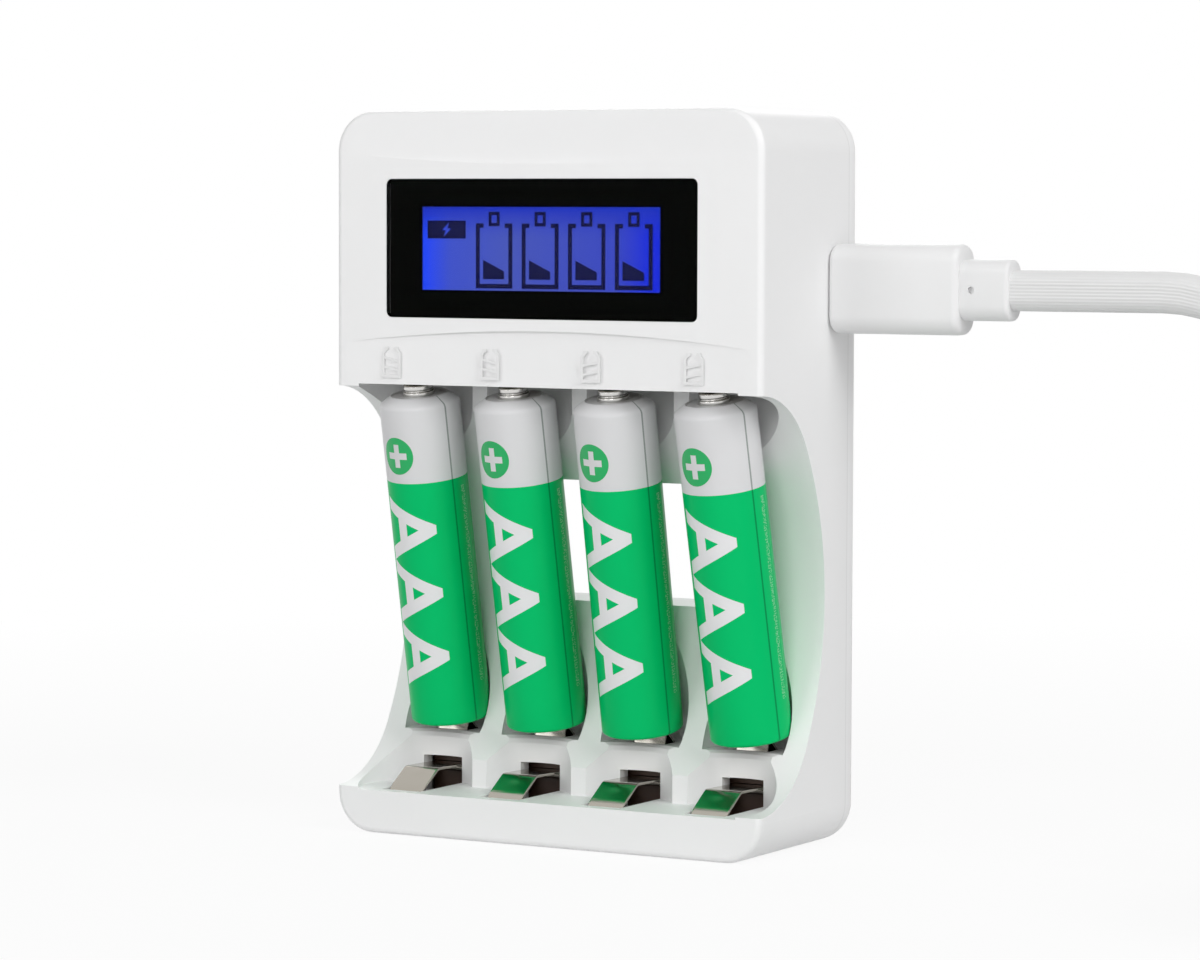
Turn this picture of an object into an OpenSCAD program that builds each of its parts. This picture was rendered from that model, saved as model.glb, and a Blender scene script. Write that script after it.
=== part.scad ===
// Upright four-bay charger for AA and AAA cells, with AAA cells in its bays and a USB lead in its side.
// Millimetres. The front faces -Y, X is to the right, Z is up, and the case stands on z = 0.
// Depths (names ending in _d or held by at_depth) are counted backwards from the case's front face.

/* [Case] */
// Width of the case
body_w = 61; // [60.5:0.5:70]
// Height of the case
body_h = 91.5; // [90:0.5:104]
// Depth of the case, front face to back face
body_d = 26.5; // [26:0.5:32]
// Corner radius of the case, seen from the front
corner_r = 5; // [3.5:0.5:7]
// Rounding of the front edges
front_round = 0.8; // [0.4:0.1:1.2]
// Rounding of the back edges
back_round = 2.4; // [1:0.1:3]
// Thickness of the moulded walls
wall = 1.6; // [1.3:0.1:2]
// Depth of the rear cover, from the parting line to the back face
cover_depth = 3.5; // [3:0.1:5]
// Height of the ledge that AA cells stand on
floor_z = 5.5; // [5:0.1:7]
// Thickness of the ceiling over the bays
ceiling = 2; // [1.5:0.1:3]
// Depth of the concave scoop in the sides
scoop_depth = 17; // [14:0.5:18]
// Radius at the two ends of the scoop
scoop_end_r = 13.8; // [9:0.1:13.9]

/* [Bays] */
// Room between the outer bays and the case's sides
bay_margin = 1.3; // [1.1:0.1:2]
// Diameter of an AA cell
aa_dia = 14.5; // [13.5:0.1:14.5]
// Length of an AA cell
aa_len = 50.5; // [49.2:0.1:50.5]
// Clearance round an AA cell in its bay
aa_clear = 0.05; // [0.02:0.01:0.15]
// Depth of an AA cell's axis
aa_axis_d = 5.1; // [4.5:0.1:6]
// Depth at which the ribs between the bays end
rib_front_d = 8.9; // [8:0.1:10]
// Height of an AA cell's foot over the ledge, with its contact pressed
aa_seat = 1.6; // [1.2:0.1:2]
// Height of an AAA cell's foot over its shelf
aaa_seat = 1.8; // [1.4:0.1:2.2]
// Least height of the shelf over the ledge
step_rise = 5.6; // [5:0.1:6.5]
// Rounding of the shelf's front edge
shelf_round = 1.1; // [0.4:0.1:1.3]
// Room round an AAA cell in its groove
groove_clear = 0.75; // [0.65:0.05:1]
// Width of the push-out window in the back
window_w = 30; // [20:1:34]
// Height of the push-out window
window_h = 15.6; // [10:0.2:18]
// Height of the window's middle
window_z = 37.2; // [34:0.2:40]

/* [Cells] */
// Diameter of an AAA cell
aaa_dia = 10.3; // [9.5:0.1:10.5]
// Length of an AAA cell over its button
aaa_len = 44; // [43.3:0.1:44.5]
// Lean of the cells, top forward
cell_lean = 10.5; // [6:0.5:12]
// Depth of a cell's bottom centre
cell_foot_d = 13; // [12.5:0.1:13.4]
// Thickness of the printed sleeve
sleeve_t = 0.15; // [0.1:0.05:0.3]
// Diameter of the positive button
button_dia = 3.8; // [3.2:0.1:3.8]
// Height of the positive button
button_h = 1; // [0.8:0.1:1.4]

/* [Contacts] */
// Thickness of the contact strip
strip_t = 0.3; // [0.2:0.05:0.4]
// Width of a contact strip
strip_w = 5; // [4:0.1:5.6]
// Room at each side of a strip in its slot
slot_side = 0.4; // [0.3:0.1:0.6]
// Height of an AA contact's fold above the ledge
aa_rise = 2.5; // [2:0.1:3]
// Depth of an AA contact's fold
aa_fold_d = 6.8; // [6:0.1:8]
// Depth of an AA contact's tip
aa_tip_d = 2.4; // [2:0.1:3]
// Radius of a contact's rolled root
root_r = 0.6; // [0.5:0.05:0.8]
// Running clearance of a rolled root in its seat
root_clear = 0.05; // [0.03:0.01:0.08]
// Thickness of a positive contact plate
plate_t = 0.5; // [0.3:0.1:0.8]
// Width of a positive contact plate
plate_w = 8; // [6:0.5:10]
// Height of a positive contact plate over the hood's lower face
plate_sink = 0.4; // [0.2:0.1:0.6]

/* [Display] */
// Width of the lens
lens_w = 44.4; // [40:0.2:48]
// Height of the lens
lens_h = 17.2; // [14:0.2:20]
// Sideways place of the lens's middle
lens_x = -0.7; // [-2:0.1:2]
// Thickness of the lens
lens_t = 0.9; // [0.6:0.1:1]
// Corner radius of the lens
lens_r = 0.7; // [0.5:0.1:2]
// Gap round the lens in its pocket
lens_gap = 0.1; // [0.05:0.05:0.2]
// Thickness of the black mask behind the lens
mask_t = 0.2; // [0.1:0.05:0.3]
// Sideways place of the lit window's middle
view_x = -1.1; // [-2:0.1:2]
// Width of the lit window in the mask
view_w = 34.2; // [30:0.2:36]
// Height of the lit window in the mask
view_h = 10.4; // [8:0.2:12]
// Thickness of the hood's front wall
face_t = 2; // [1.8:0.1:2.6]
// Depth of the two arched hollows on the hood's face, at their middle
hollow_depth = 0.5; // [0.2:0.1:0.8]

/* [USB lead] */
// Height of the plug's middle over the hood's lower face
plug_rise = 12.4; // [11:0.1:15]
// Distance from the plug's middle to the case's back face
plug_back = 6.6; // [6.3:0.1:7]
// Height of the plug's grip
grip_h = 11.1; // [9:0.1:12]
// Thickness of the plug's grip
grip_t = 5.7; // [5:0.1:6.5]
// Length of the plug's grip
grip_len = 17.6; // [14:0.2:22]
// Length of the collar behind the grip
collar_len = 6.4; // [4:0.2:10]
// Height of the cord's oval section
cord_h = 5; // [4.5:0.1:5]
// Thickness of the cord's oval section
cord_t = 3.4; // [2.6:0.1:3.4]
// Level run of the lead behind the collar
lead_out = 19.5; // [15:0.5:30]
// Radius of the lead's two bends
bend_r = 20; // [20:0.5:25]
// Steepness of the lead between its bends
drop_angle = 88; // [60:1:88]
// Level run of the lead on the floor before the coil
lay_in = 7; // [7:0.5:12]
// Radius of the coil at the middle of its turns
coil_r = 25; // [25:0.5:30]
// Height step from turn to turn of the coil
coil_pitch = 5.1; // [5.1:0.05:6]
// Turns in the coil
coil_turns = 2.75; // [1.75:1:3.75]

/* [Hidden] */
$fn = 64;
bays = [0:3];
eps = 0.01;
front_y = -body_d / 2;
parting_d = body_d - cover_depth;
pitch = (body_w - 2 * bay_margin) / 4;
bay_r = aa_dia / 2 + aa_clear;
step_d = aa_axis_d + bay_r;
step_wall = 1.4;
shelf_t = 1.4;
plug_d = body_d - plug_back;
board_t = 1.4;
board_d = plug_d + 1.4;
inner_d = board_d - 0.9;

// Cells lean about the centre of their foot, with the button's rear edge under the positive plate. The
// plate is as high as the AA cells need, or the AAA cells on their shelf if they need more.
cell_gap = 0.05;
cell_reach = aaa_len * cos(cell_lean) + button_dia / 2 * sin(cell_lean) + cell_gap;
plate_z = max(floor_z + aa_seat + aa_len, floor_z + step_rise + aaa_seat + cell_reach);
hood_z = plate_z - plate_sink;
cavity_z = hood_z + ceiling;
cell_foot_z = plate_z - cell_reach;
shelf_z = cell_foot_z - aaa_seat;
cell_shift = [0.6, 0.3, -0.3, 0.6];
cell_tilt = [0.2, 0.5, 0, 1.8];
groove_r = aaa_dia / 2 + groove_clear;
can_r = aaa_dia / 2 - sleeve_t;
shoulder_r = 0.7;
shelf_crisp = 0.12;

// Scoop: three tangent arcs between the ledge and the hood.
scoop_inset = 0.3;
scoop_half = (hood_z - floor_z) / 2 - scoop_inset;
scoop_z = (hood_z + floor_z) / 2;
scoop_mid_r = (pow(scoop_depth, 2) + pow(scoop_half - scoop_end_r, 2) - pow(scoop_end_r, 2))
    / (2 * (scoop_depth - scoop_end_r));
scoop_ease = 0.03;
scoop_mid_d = scoop_depth - scoop_mid_r - scoop_ease;
scoop_tangent_z = scoop_end_r * (scoop_half - scoop_end_r) / (scoop_mid_r - scoop_end_r)
    + scoop_half - scoop_end_r;

// Contacts. AA strips turn about aa_root, AAA strips about aaa_root, as [depth, height].
aa_root = [step_d + 2.4, floor_z + 1.7];
aa_fold = [aa_fold_d, floor_z + aa_rise];
aa_tip = [aa_tip_d, floor_z - 0.3];
aaa_fold_d = 14.6;
aaa_fold = [aaa_fold_d, cell_foot_z + (aaa_fold_d - cell_foot_d) * tan(cell_lean) - 3 * cell_gap];
aaa_tip = [aaa_fold_d - 0.55, shelf_z - 0.6];
aaa_root = [board_d - 2.3, shelf_z - 2.6];
slot_w = strip_w + 2 * slot_side;
aaa_strip_w = strip_w - 0.6;
aaa_slot_w = aaa_strip_w + 2 * slot_side;
carrier_front_d = aa_root[0];
carrier_top = aa_root[1] + 1.2;
carrier_w = 3 * pitch + strip_w + 1.6;
carrier_front_t = 2;
carrier_base_t = 1.6;
aa_open_h = aa_rise + 0.8;
tip_room = 0.7;
tab_w = 4;
plate_front_d = 2;
plate_len = 8;

// Boards, and what stands on them.
screw_high = [body_w / 2 - 5, body_h - 5.5];
boss_r = 2.6;
board_left = 7.5 - body_w / 2;
board_right = body_w / 2 - wall - 0.4;
board_low = cavity_z + 2;
board_high = screw_high[1] - boss_r - 0.5;
board_h = board_high - board_low;
lower_board_w = body_w - 15;
lower_board_low = wall + 0.4;
lower_board_high = 20;
post_r = 1.4;
posts = [
    [board_left + 1.8, board_low + 2.2],
    [board_right - 4.5, board_low + 2.2]
];
chip_size = [7, 7, 1.6];
chip_x = board_left + 21;
transistor_size = [4, 3, 1.2];
transistor_x = board_left + 8.5;
transistor_step = 5;
capacitor_r = 2.5;
capacitor_h = 7;
capacitor_x = board_left + 28;
capacitor_step = 6;
wire_r = 0.4;
wire_step = 0.9;
wire_x = -window_w / 2 - wall - 2 * wire_r;
lens_z = (hood_z + body_h) / 2;
display_board_d = 6.2;
display_board_t = 1.2;
display_board_w = 34;
display_board_h = 19;
lcd_w = 37.6;
lcd_h = 14;
lcd_t = 1.6;
backlight_h = 11.4;
backlight_t = display_board_d - face_t - lcd_t;

// Screws.
screw_r = 1.1;
screw_head_r = 2.1;
screw_head_t = 1.4;
screw_len = parting_d - step_d + 0.4;
screw_low = [pitch, 6];
screw_places = [for (p = [screw_low, screw_high], side = [-1, 1]) [side * p[0], p[1]]];
boss_room = 0.3;
screw_seat_d = body_d - 1.7;
cross_w = 0.5;
cross_len = 2.6;
cross_t = 0.7;

// USB parts.
side_x = body_w / 2;
plug_y = front_y + plug_d;
plug_z = hood_z + plug_rise;
tongue_h = 6.8;
tongue_t = 1.8;
tongue_len = 5.2;
socket_h = 8;
socket_t = 2.8;
socket_len = 5.8;
socket_wall = 0.3;
socket_fit = 0.08;
grip_r = 2.2;
collar_h = 7.5;
collar_t = 4.4;
collar_r = 1.8;
dot_r = 0.45;
dot_from_grip = 1.6;
grip_end_x = side_x + grip_len;
collar_end_x = grip_end_x + collar_len;
cord_lift = cord_h / 2 + 0.1;

// Route of the lead: level, a bend, a drop, a second bend, and a level run on the floor to the coil.
bend_steps = 6;
bend_x = collar_end_x + lead_out;
drop_h = plug_z - cord_lift - 2 * bend_r * (1 - cos(drop_angle));
drop_x = drop_h / tan(drop_angle);
drop_top = [bend_x + bend_r * sin(drop_angle), plug_y, plug_z - bend_r * (1 - cos(drop_angle))];
land_x = bend_x + 2 * bend_r * sin(drop_angle) + drop_x;
coil_x = land_x + lay_in;
route = concat(
    [for (k = [0:4]) [collar_end_x + lead_out * k / 4, plug_y, plug_z]],
    [for (k = [1:bend_steps]) let (a = drop_angle * k / bend_steps)
        [bend_x + bend_r * sin(a), plug_y, plug_z - bend_r * (1 - cos(a))]],
    [for (k = [1:3]) drop_top + [drop_x, 0, -drop_h] * k / 3],
    [for (k = [bend_steps - 1:-1:0]) let (a = drop_angle * k / bend_steps)
        [land_x - bend_r * sin(a), plug_y, cord_lift + bend_r * (1 - cos(a))]],
    [[coil_x, plug_y, cord_lift]]
);

// Coil: turns stacked on one another, with the tail bending off the top turn to the plug that lies on them.
coil_y = plug_y - coil_r;
coil_end_z = cord_lift + coil_pitch * coil_turns;
coil_h = cord_lift + coil_pitch * (coil_turns - 0.5) + cord_h / 2 + 0.1;
tie_t = 0.8;
tie_w = 8;
tie_room = 0.5;
usb_a_body = [24, 16, 8];
usb_a_shell = [12, 12, 4.5];
usb_a_boot = 6;
boot_room = 2;
tail_r = 20;
tail_out = 2;
tail_x = coil_x - (coil_r - tail_r);
tail_y = coil_y + tail_r;
usb_a_x = tail_x + tail_out;
usb_a_z = coil_h + 0.1 + usb_a_body[2] / 2;
tail = concat(
    [for (a = [0:15:90]) [
        tail_x - tail_r * cos(a),
        coil_y + tail_r * sin(a),
        coil_end_z + (usb_a_z - coil_end_z) * (1 - cos(2 * a)) / 2
    ]],
    [[usb_a_x, tail_y, usb_a_z]]
);

function bay_x(i) = (i - 1.5) * pitch;
function y_at(d) = front_y + d;
function unit(v) = v / norm(v);

// Solids drawn in the front view, [x, z], and pushed back from depth d0 to d1.
module at_depth(d0, d1) {
    translate([0, y_at(d1), 0]) rotate([90, 0, 0]) linear_extrude(d1 - d0) children();
}

// Solids drawn in the side view, [depth, z], and pushed along X over a width w about x.
module across(x, w) {
    translate([x - w / 2, front_y, 0]) rotate([90, 0, 90]) linear_extrude(w) children();
}

module rounded_rect(w, h, r) {
    union() {
        square([w - 2 * r, h], center = true);
        square([w, h - 2 * r], center = true);
        for (x = [-1, 1], z = [-1, 1]) translate([x * (w / 2 - r), z * (h / 2 - r)]) circle(r);
    }
}

module case_outline(inset) {
    translate([0, body_h / 2]) rounded_rect(body_w - 2 * inset, body_h - 2 * inset, corner_r - inset);
}

module slab(x, z, d, w, h, t) {
    translate([x - w / 2, y_at(d), z - h / 2]) cube([w, t, h]);
}

// The last r of a case half at its flat face, with rounded edges. It is drawn lying down with the face
// upwards at z = 0: a middle, four bars and four turned corners. turn 90 faces it forward, -90 backward.
module rounded_face(face_d, r, turn) {
    run = [body_w - 2 * corner_r, body_h - 2 * corner_r];
    translate([0, y_at(face_d), body_h / 2]) rotate([turn, 0, 0]) translate([0, 0, -r]) {
        linear_extrude(r) square(run, center = true);
        for (k = [0:3]) rotate(90 * k)
            translate([run[k % 2] / 2, run[(k + 1) % 2] / 2, 0])
                rotate([90, 0, 0]) linear_extrude(run[(k + 1) % 2]) edge_profile(r);
        for (x = [-1, 1], y = [-1, 1])
            translate([x * run[0] / 2, y * run[1] / 2, 0]) rotate_extrude() edge_profile(r);
    }
}

module edge_profile(r) {
    square([corner_r - r, r]);
    translate([corner_r - r, 0]) intersection() {
        circle(r);
        square(r);
    }
}

module scoop() {
    across(0, body_w + 2) {
        for (s = [-1, 1]) translate([0, scoop_z + s * (scoop_half - scoop_end_r)]) circle(scoop_end_r);
        intersection() {
            translate([scoop_mid_d, scoop_z]) circle(scoop_mid_r, $fn = 128);
            translate([-2, scoop_z - scoop_tangent_z]) square([scoop_depth + 4, 2 * scoop_tangent_z]);
        }
    }
}

// The AA bays: round channels, with the ribs cut back between the two outer ones.
module aa_bays() {
    translate([0, 0, floor_z]) linear_extrude(hood_z - floor_z) {
        for (i = bays) translate([bay_x(i), y_at(aa_axis_d)]) circle(bay_r);
        translate([bay_x(0), front_y - 1]) square([bay_x(3) - bay_x(0), rib_front_d + 1]);
    }
}

// A leaning solid of revolution about a cell's axis, from its foot upwards.
module on_cell_axis(x, tilt) {
    translate([x, y_at(cell_foot_d), cell_foot_z]) rotate([cell_lean, -tilt, 0]) children();
}

module aaa_grooves() {
    for (i = bays) intersection() {
        on_cell_axis(bay_x(i), 0) translate([0, 0, -aaa_dia]) cylinder(r = groove_r, h = aaa_len);
        union() {
            translate([bay_x(i) - pitch / 2, y_at(aa_axis_d), shelf_z]) cube([pitch, body_d, aaa_len / 2]);
            translate([bay_x(i), y_at(aa_axis_d), shelf_z - shelf_round]) rotate_extrude() shelf_edge();
        }
    }
}

// What the soft front edge of the shelf takes off, beside the AA bay's wall.
module shelf_edge() {
    polygon([
        [0, 0], [bay_r - shelf_crisp, 0], [bay_r + 0.3 * shelf_round, 0.7 * shelf_round],
        [bay_r + shelf_round, shelf_round + shelf_crisp], [0, shelf_round + shelf_crisp]
    ]);
}

module cavities() {
    intersection() {
        at_depth(1, parting_d + 1) case_outline(wall);
        union() {
            translate([-body_w / 2, y_at(face_t), cavity_z]) cube([body_w, body_d, body_h]);
            translate([-body_w / 2, y_at(inner_d), 0]) cube([body_w, body_d, body_h]);
            translate([-body_w / 2, y_at(wall), 0]) cube([body_w, body_d, floor_z - wall]);
            translate([-body_w / 2, y_at(step_d + step_wall), 0]) cube([body_w, body_d, shelf_z - shelf_t]);
        }
    }
}

module contact_openings() {
    ledge_len = aa_root[0] - aa_tip_d + tip_room - eps;
    slot_front_d = aaa_tip[0] - tip_room / 2;
    pocket_h = plate_sink + plate_t;
    for (i = bays) translate([bay_x(i), 0, 0]) {
        slab(0, floor_z + aa_open_h / 2, step_d - bay_r / 3, slot_w, aa_open_h, bay_r);
        slab(0, floor_z - wall / 2, aa_tip_d - tip_room, slot_w, 2 * wall, ledge_len);
        slab(0, shelf_z, slot_front_d, aaa_slot_w, 2 * aaa_seat + 1.4, aaa_root[0] - slot_front_d - 0.1);
        slab(0, hood_z + pocket_h / 2, plate_front_d - slot_side, plate_w + 2 * slot_side, pocket_h,
            plate_len + 2 * slot_side);
        slab(0, hood_z + ceiling / 2, plate_front_d + plate_len - 2 * plate_t, tab_w + slot_side, ceiling + 1,
            2 * plate_t + slot_side / 2);
    }
}

// Arched hollows above and below the lens, deepest at the middle and fading out at the sides.
module face_hollows() {
    reach = body_w / 2 - 1.5;
    arc_r = (pow(reach, 2) + pow(hollow_depth, 2)) / (2 * hollow_depth);
    low_r = 235;
    high_r = 300;
    low_rise = 7;
    high_drop = 6.6;
    intersection() {
        translate([0, y_at(hollow_depth - arc_r), hood_z - 1]) cylinder(r = arc_r, h = body_h, $fn = 720);
        at_depth(-1, 2) union() {
            intersection() {
                translate([0, hood_z + low_rise - low_r]) circle(low_r, $fn = 720);
                translate([-body_w, hood_z - 1]) square([body_w * 2, 12]);
            }
            intersection() {
                translate([0, body_h - high_drop + high_r]) circle(high_r, $fn = 720);
                translate([-body_w, body_h - 9]) square([body_w * 2, 12]);
            }
        }
    }
}

module window(grow, d0, d1) {
    at_depth(d0, d1) translate([0, window_z])
        rounded_rect(window_w + 2 * grow, window_h + 2 * grow, 1 + grow);
}

module front_case() {
    color([0.93, 0.93, 0.93]) difference() {
        union() {
            difference() {
                union() {
                    at_depth(front_round, parting_d) case_outline(0);
                    rounded_face(0, front_round, 90);
                }
                scoop();
                aa_bays();
                aaa_grooves();
                cavities();
            }
            window(wall, inner_d - 1, parting_d);
            for (p = screw_places) at_depth(p[1] > hood_z ? face_t - 0.5 : step_d + 0.6, parting_d)
                translate(p) circle(boss_r);
            for (p = posts) at_depth(face_t - 0.5, board_d) translate(p) circle(post_r);
        }
        window(0, scoop_depth - 5, parting_d + 1);
        contact_openings();
        face_hollows();
        at_depth(-1, lens_t + mask_t) translate([lens_x, lens_z])
            rounded_rect(lens_w + 2 * lens_gap, lens_h + 2 * lens_gap, lens_r + lens_gap);
        at_depth(-1, face_t + 1) translate([view_x, lens_z]) rounded_rect(view_w + 2, view_h + 2, 1);
        translate([side_x - wall - 1, plug_y - tongue_t / 2 - 0.5, plug_z - tongue_h / 2 - 0.5])
            cube([wall + 2, tongue_t + 1, tongue_h + 1]);
        for (p = screw_places) at_depth(parting_d - screw_len, parting_d + 1) translate(p) circle(screw_r);
    }
}

module rear_cover() {
    color([0.9, 0.9, 0.9]) difference() {
        union() {
            difference() {
                union() {
                    at_depth(parting_d, body_d - back_round) case_outline(0);
                    rounded_face(body_d, back_round, -90);
                }
                at_depth(parting_d - 1, body_d - wall) case_outline(wall + 0.6);
            }
            window(wall, parting_d, body_d - wall / 2);
            for (p = screw_places) at_depth(parting_d, body_d - wall / 2) translate(p) circle(boss_r);
        }
        window(0, parting_d - 1, body_d + 1);
        for (p = screw_places) {
            at_depth(parting_d - 1, body_d + 1) translate(p) circle(screw_r + 0.2);
            at_depth(screw_seat_d, body_d + 1) translate(p) circle(screw_head_r + 0.2);
        }
    }
}

module display_lens() {
    color([0.05, 0.05, 0.06]) at_depth(0.02, lens_t) translate([lens_x, lens_z])
        rounded_rect(lens_w, lens_h, lens_r);
}

module display_mask() {
    color([0.03, 0.03, 0.03]) at_depth(lens_t, lens_t + mask_t) difference() {
        translate([lens_x, lens_z]) rounded_rect(lens_w, lens_h, lens_r);
        translate([view_x, lens_z]) square([view_w, view_h], center = true);
    }
}

module lcd_panel() {
    color([0.25, 0.5, 0.9]) slab(view_x, lens_z, face_t, lcd_w, lcd_h, lcd_t);
}

module lcd_backlight() {
    color([0.85, 0.9, 1]) slab(view_x, lens_z + (lcd_h - backlight_h) / 2, face_t + lcd_t, display_board_w,
        backlight_h, backlight_t);
}

module lcd_connector() {
    strip_h = lcd_h - backlight_h - 0.4;
    color([0.8, 0.3, 0.5]) slab(view_x, lens_z - (lcd_h - strip_h) / 2, face_t + lcd_t, display_board_w,
        strip_h, backlight_t);
}

module display_board() {
    color([0.05, 0.3, 0.15]) slab(view_x, lens_z, display_board_d, display_board_w, display_board_h,
        display_board_t);
}

module main_board() {
    color([0.05, 0.3, 0.15]) at_depth(board_d, board_d + board_t)
        translate([board_left, board_low]) square([board_right - board_left, board_h]);
}

module controller_chip() {
    color([0.06, 0.06, 0.06]) slab(chip_x, board_low + board_h / 2, board_d - chip_size[2],
        chip_size[0], chip_size[1], chip_size[2]);
}

module charge_transistors() {
    color([0.06, 0.06, 0.06]) for (k = [0, 1], f = [0.3, 0.7])
        slab(transistor_x + k * transistor_step, board_low + board_h * f, board_d - transistor_size[2],
            transistor_size[0], transistor_size[1], transistor_size[2]);
}

module capacitors() {
    color([0.2, 0.2, 0.25]) for (k = [0, 1])
        translate([capacitor_x + k * capacitor_step, y_at(board_d), board_low + board_h / 2])
            rotate([90, 0, 0]) cylinder(r = capacitor_r, h = capacitor_h);
}

module usb_socket() {
    inner_h = tongue_h + 2 * socket_fit;
    inner_t = tongue_t + 2 * socket_fit;
    color([0.75, 0.75, 0.77]) translate([side_x - wall - socket_len, plug_y, plug_z]) difference() {
        translate([0, -socket_t / 2, -socket_h / 2]) cube([socket_len, socket_t, socket_h]);
        translate([socket_wall, -inner_t / 2, -inner_h / 2]) cube([socket_len, inner_t, inner_h]);
    }
}

module lower_board() {
    color([0.35, 0.2, 0.08]) difference() {
        at_depth(board_d, board_d + board_t) translate([-lower_board_w / 2, lower_board_low])
            square([lower_board_w, lower_board_high - lower_board_low]);
        boss_holes(board_d - 1, board_d + board_t + 1);
    }
}

// Moulded bar that holds the rolled roots of all the spring strips in half-round seats.
module contact_carrier() {
    base_z = wall + eps;
    rear_d = aaa_root[0] + root_r / 2;
    rear_top = shelf_z - shelf_t - 0.1;
    color([0.2, 0.2, 0.2]) difference() {
        across(0, carrier_w) {
            translate([carrier_front_d, base_z]) square([carrier_front_t, carrier_top - base_z]);
            translate([carrier_front_d, base_z]) square([board_d - carrier_front_d, carrier_base_t]);
            translate([rear_d, base_z]) square([board_d - rear_d, rear_top - base_z]);
        }
        for (root = [aa_root, aaa_root])
            across(0, carrier_w + 2) translate(root) circle(root_r + root_clear);
        boss_holes(carrier_front_d - 1, board_d + 1);
    }
}

// Room round the two lower screw bosses, which the carrier and its board slide over.
module boss_holes(d0, d1) {
    for (side = [-1, 1]) at_depth(d0, d1)
        translate([side * screw_low[0], screw_low[1]]) circle(boss_r + boss_room);
}

module link_wires() {
    color([0.7, 0.1, 0.1]) for (k = bays)
        translate([wire_x - k * wire_step, y_at(board_d + board_t / 2), lower_board_high])
            cylinder(r = wire_r, h = board_low - lower_board_high, $fn = 16);
}

module case_screws() {
    shank = screw_seat_d - parting_d + screw_len - 1;
    color([0.6, 0.6, 0.62]) for (p = screw_places)
        translate([p[0], y_at(screw_seat_d), p[1]]) rotate([90, 0, 0]) {
            cylinder(r = screw_r, h = shank);
            difference() {
                translate([0, 0, -screw_head_t]) cylinder(r = screw_head_r, h = screw_head_t);
                for (a = [0, 90]) rotate(a) translate([-cross_len / 2, -cross_w / 2, -screw_head_t - 1])
                    cube([cross_len, cross_w, cross_t + 1]);
            }
        }
}

// A plate in its pocket under the hood, with a tab up into the hood for its wire.
module positive_contact(i) {
    tab_h = cavity_z + plate_len / 5 - plate_z;
    color([0.78, 0.76, 0.7]) translate([bay_x(i), 0, 0]) {
        slab(0, plate_z + plate_t / 2, plate_front_d, plate_w, plate_t, plate_len);
        slab(0, plate_z + tab_h / 2, plate_front_d + plate_len - plate_t, tab_w, tab_h, plate_t);
    }
}

// A spring strip in the side view: a rolled root, an arm to the fold and a flap down to the tip.
module strip_profile(root, fold, tip) {
    arm = unit(root - fold);
    flap = unit(tip - fold);
    up = [arm[1], -arm[0]];
    out = [-flap[1], flap[0]];
    lift = up[1] > 0 ? up : -up;
    face = out[0] < 0 ? out : -out;
    knee = fold + (arm + flap) * strip_t / sin(acos(arm * flap));
    translate(root) circle(root_r);
    polygon([root + lift * root_r, fold, tip, tip - face * strip_t, knee, root + lift * (root_r - strip_t)]);
}

module aa_contact(i) {
    color([0.78, 0.77, 0.74]) across(bay_x(i), strip_w) strip_profile(aa_root, aa_fold, aa_tip);
}

module aaa_contact(i) {
    color([0.78, 0.77, 0.74]) across(bay_x(i), aaa_strip_w) strip_profile(aaa_root, aaa_fold, aaa_tip);
}

module place_cell(i) {
    on_cell_axis(bay_x(i) + cell_shift[i], cell_tilt[i]) children();
}

module cell_can(i) {
    body_len = aaa_len - button_h;
    color([0.8, 0.8, 0.8]) place_cell(i) rotate_extrude() {
        square([can_r, body_len - sleeve_t - shoulder_r]);
        square([can_r - shoulder_r, body_len - sleeve_t]);
        translate([can_r - shoulder_r, body_len - sleeve_t - shoulder_r]) intersection() {
            circle(shoulder_r);
            square(shoulder_r);
        }
        square([button_dia / 2, aaa_len]);
    }
}

module cell_sleeve(i) {
    body_len = aaa_len - button_h;
    color([0.05, 0.7, 0.38]) place_cell(i) rotate_extrude() difference() {
        union() {
            translate([can_r - shoulder_r, 0])
                square([shoulder_r + sleeve_t, body_len - shoulder_r - sleeve_t]);
            translate([can_r - shoulder_r, body_len - shoulder_r - sleeve_t]) intersection() {
                circle(shoulder_r + sleeve_t);
                square(shoulder_r + sleeve_t);
            }
            translate([can_r - 2 * shoulder_r, body_len - sleeve_t]) square([shoulder_r, sleeve_t]);
        }
        square([can_r, body_len - sleeve_t - shoulder_r]);
        square([can_r - shoulder_r, body_len - sleeve_t]);
        translate([can_r - shoulder_r, body_len - sleeve_t - shoulder_r]) circle(shoulder_r);
    }
}

module stadium(h, t) {
    union() {
        square([h - t, t], center = true);
        for (s = [-1, 1]) translate([s * (h - t) / 2, 0]) circle(t / 2);
    }
}

// An outline drawn as [z, y] about the plug's axis and pushed along X.
module along_plug(x0, x1) {
    translate([x0, plug_y, plug_z]) rotate([0, 90, 0]) linear_extrude(x1 - x0) children();
}

module usb_plug_tongue() {
    x0 = side_x - wall - tongue_len;
    color([0.75, 0.75, 0.77]) translate([x0, plug_y - tongue_t / 2, plug_z - tongue_h / 2])
        cube([side_x - x0, tongue_t, tongue_h]);
}

module usb_plug_grip() {
    color([0.95, 0.95, 0.95]) along_plug(side_x, grip_end_x) rounded_rect(grip_h, grip_t, grip_r);
}

module cord_collar() {
    color([0.95, 0.95, 0.95]) difference() {
        along_plug(grip_end_x, collar_end_x) rounded_rect(collar_h, collar_t, collar_r);
        translate([grip_end_x + dot_from_grip, plug_y, plug_z]) rotate([90, 0, 0])
            cylinder(r = dot_r, h = collar_t, $fn = 24);
    }
}

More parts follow.
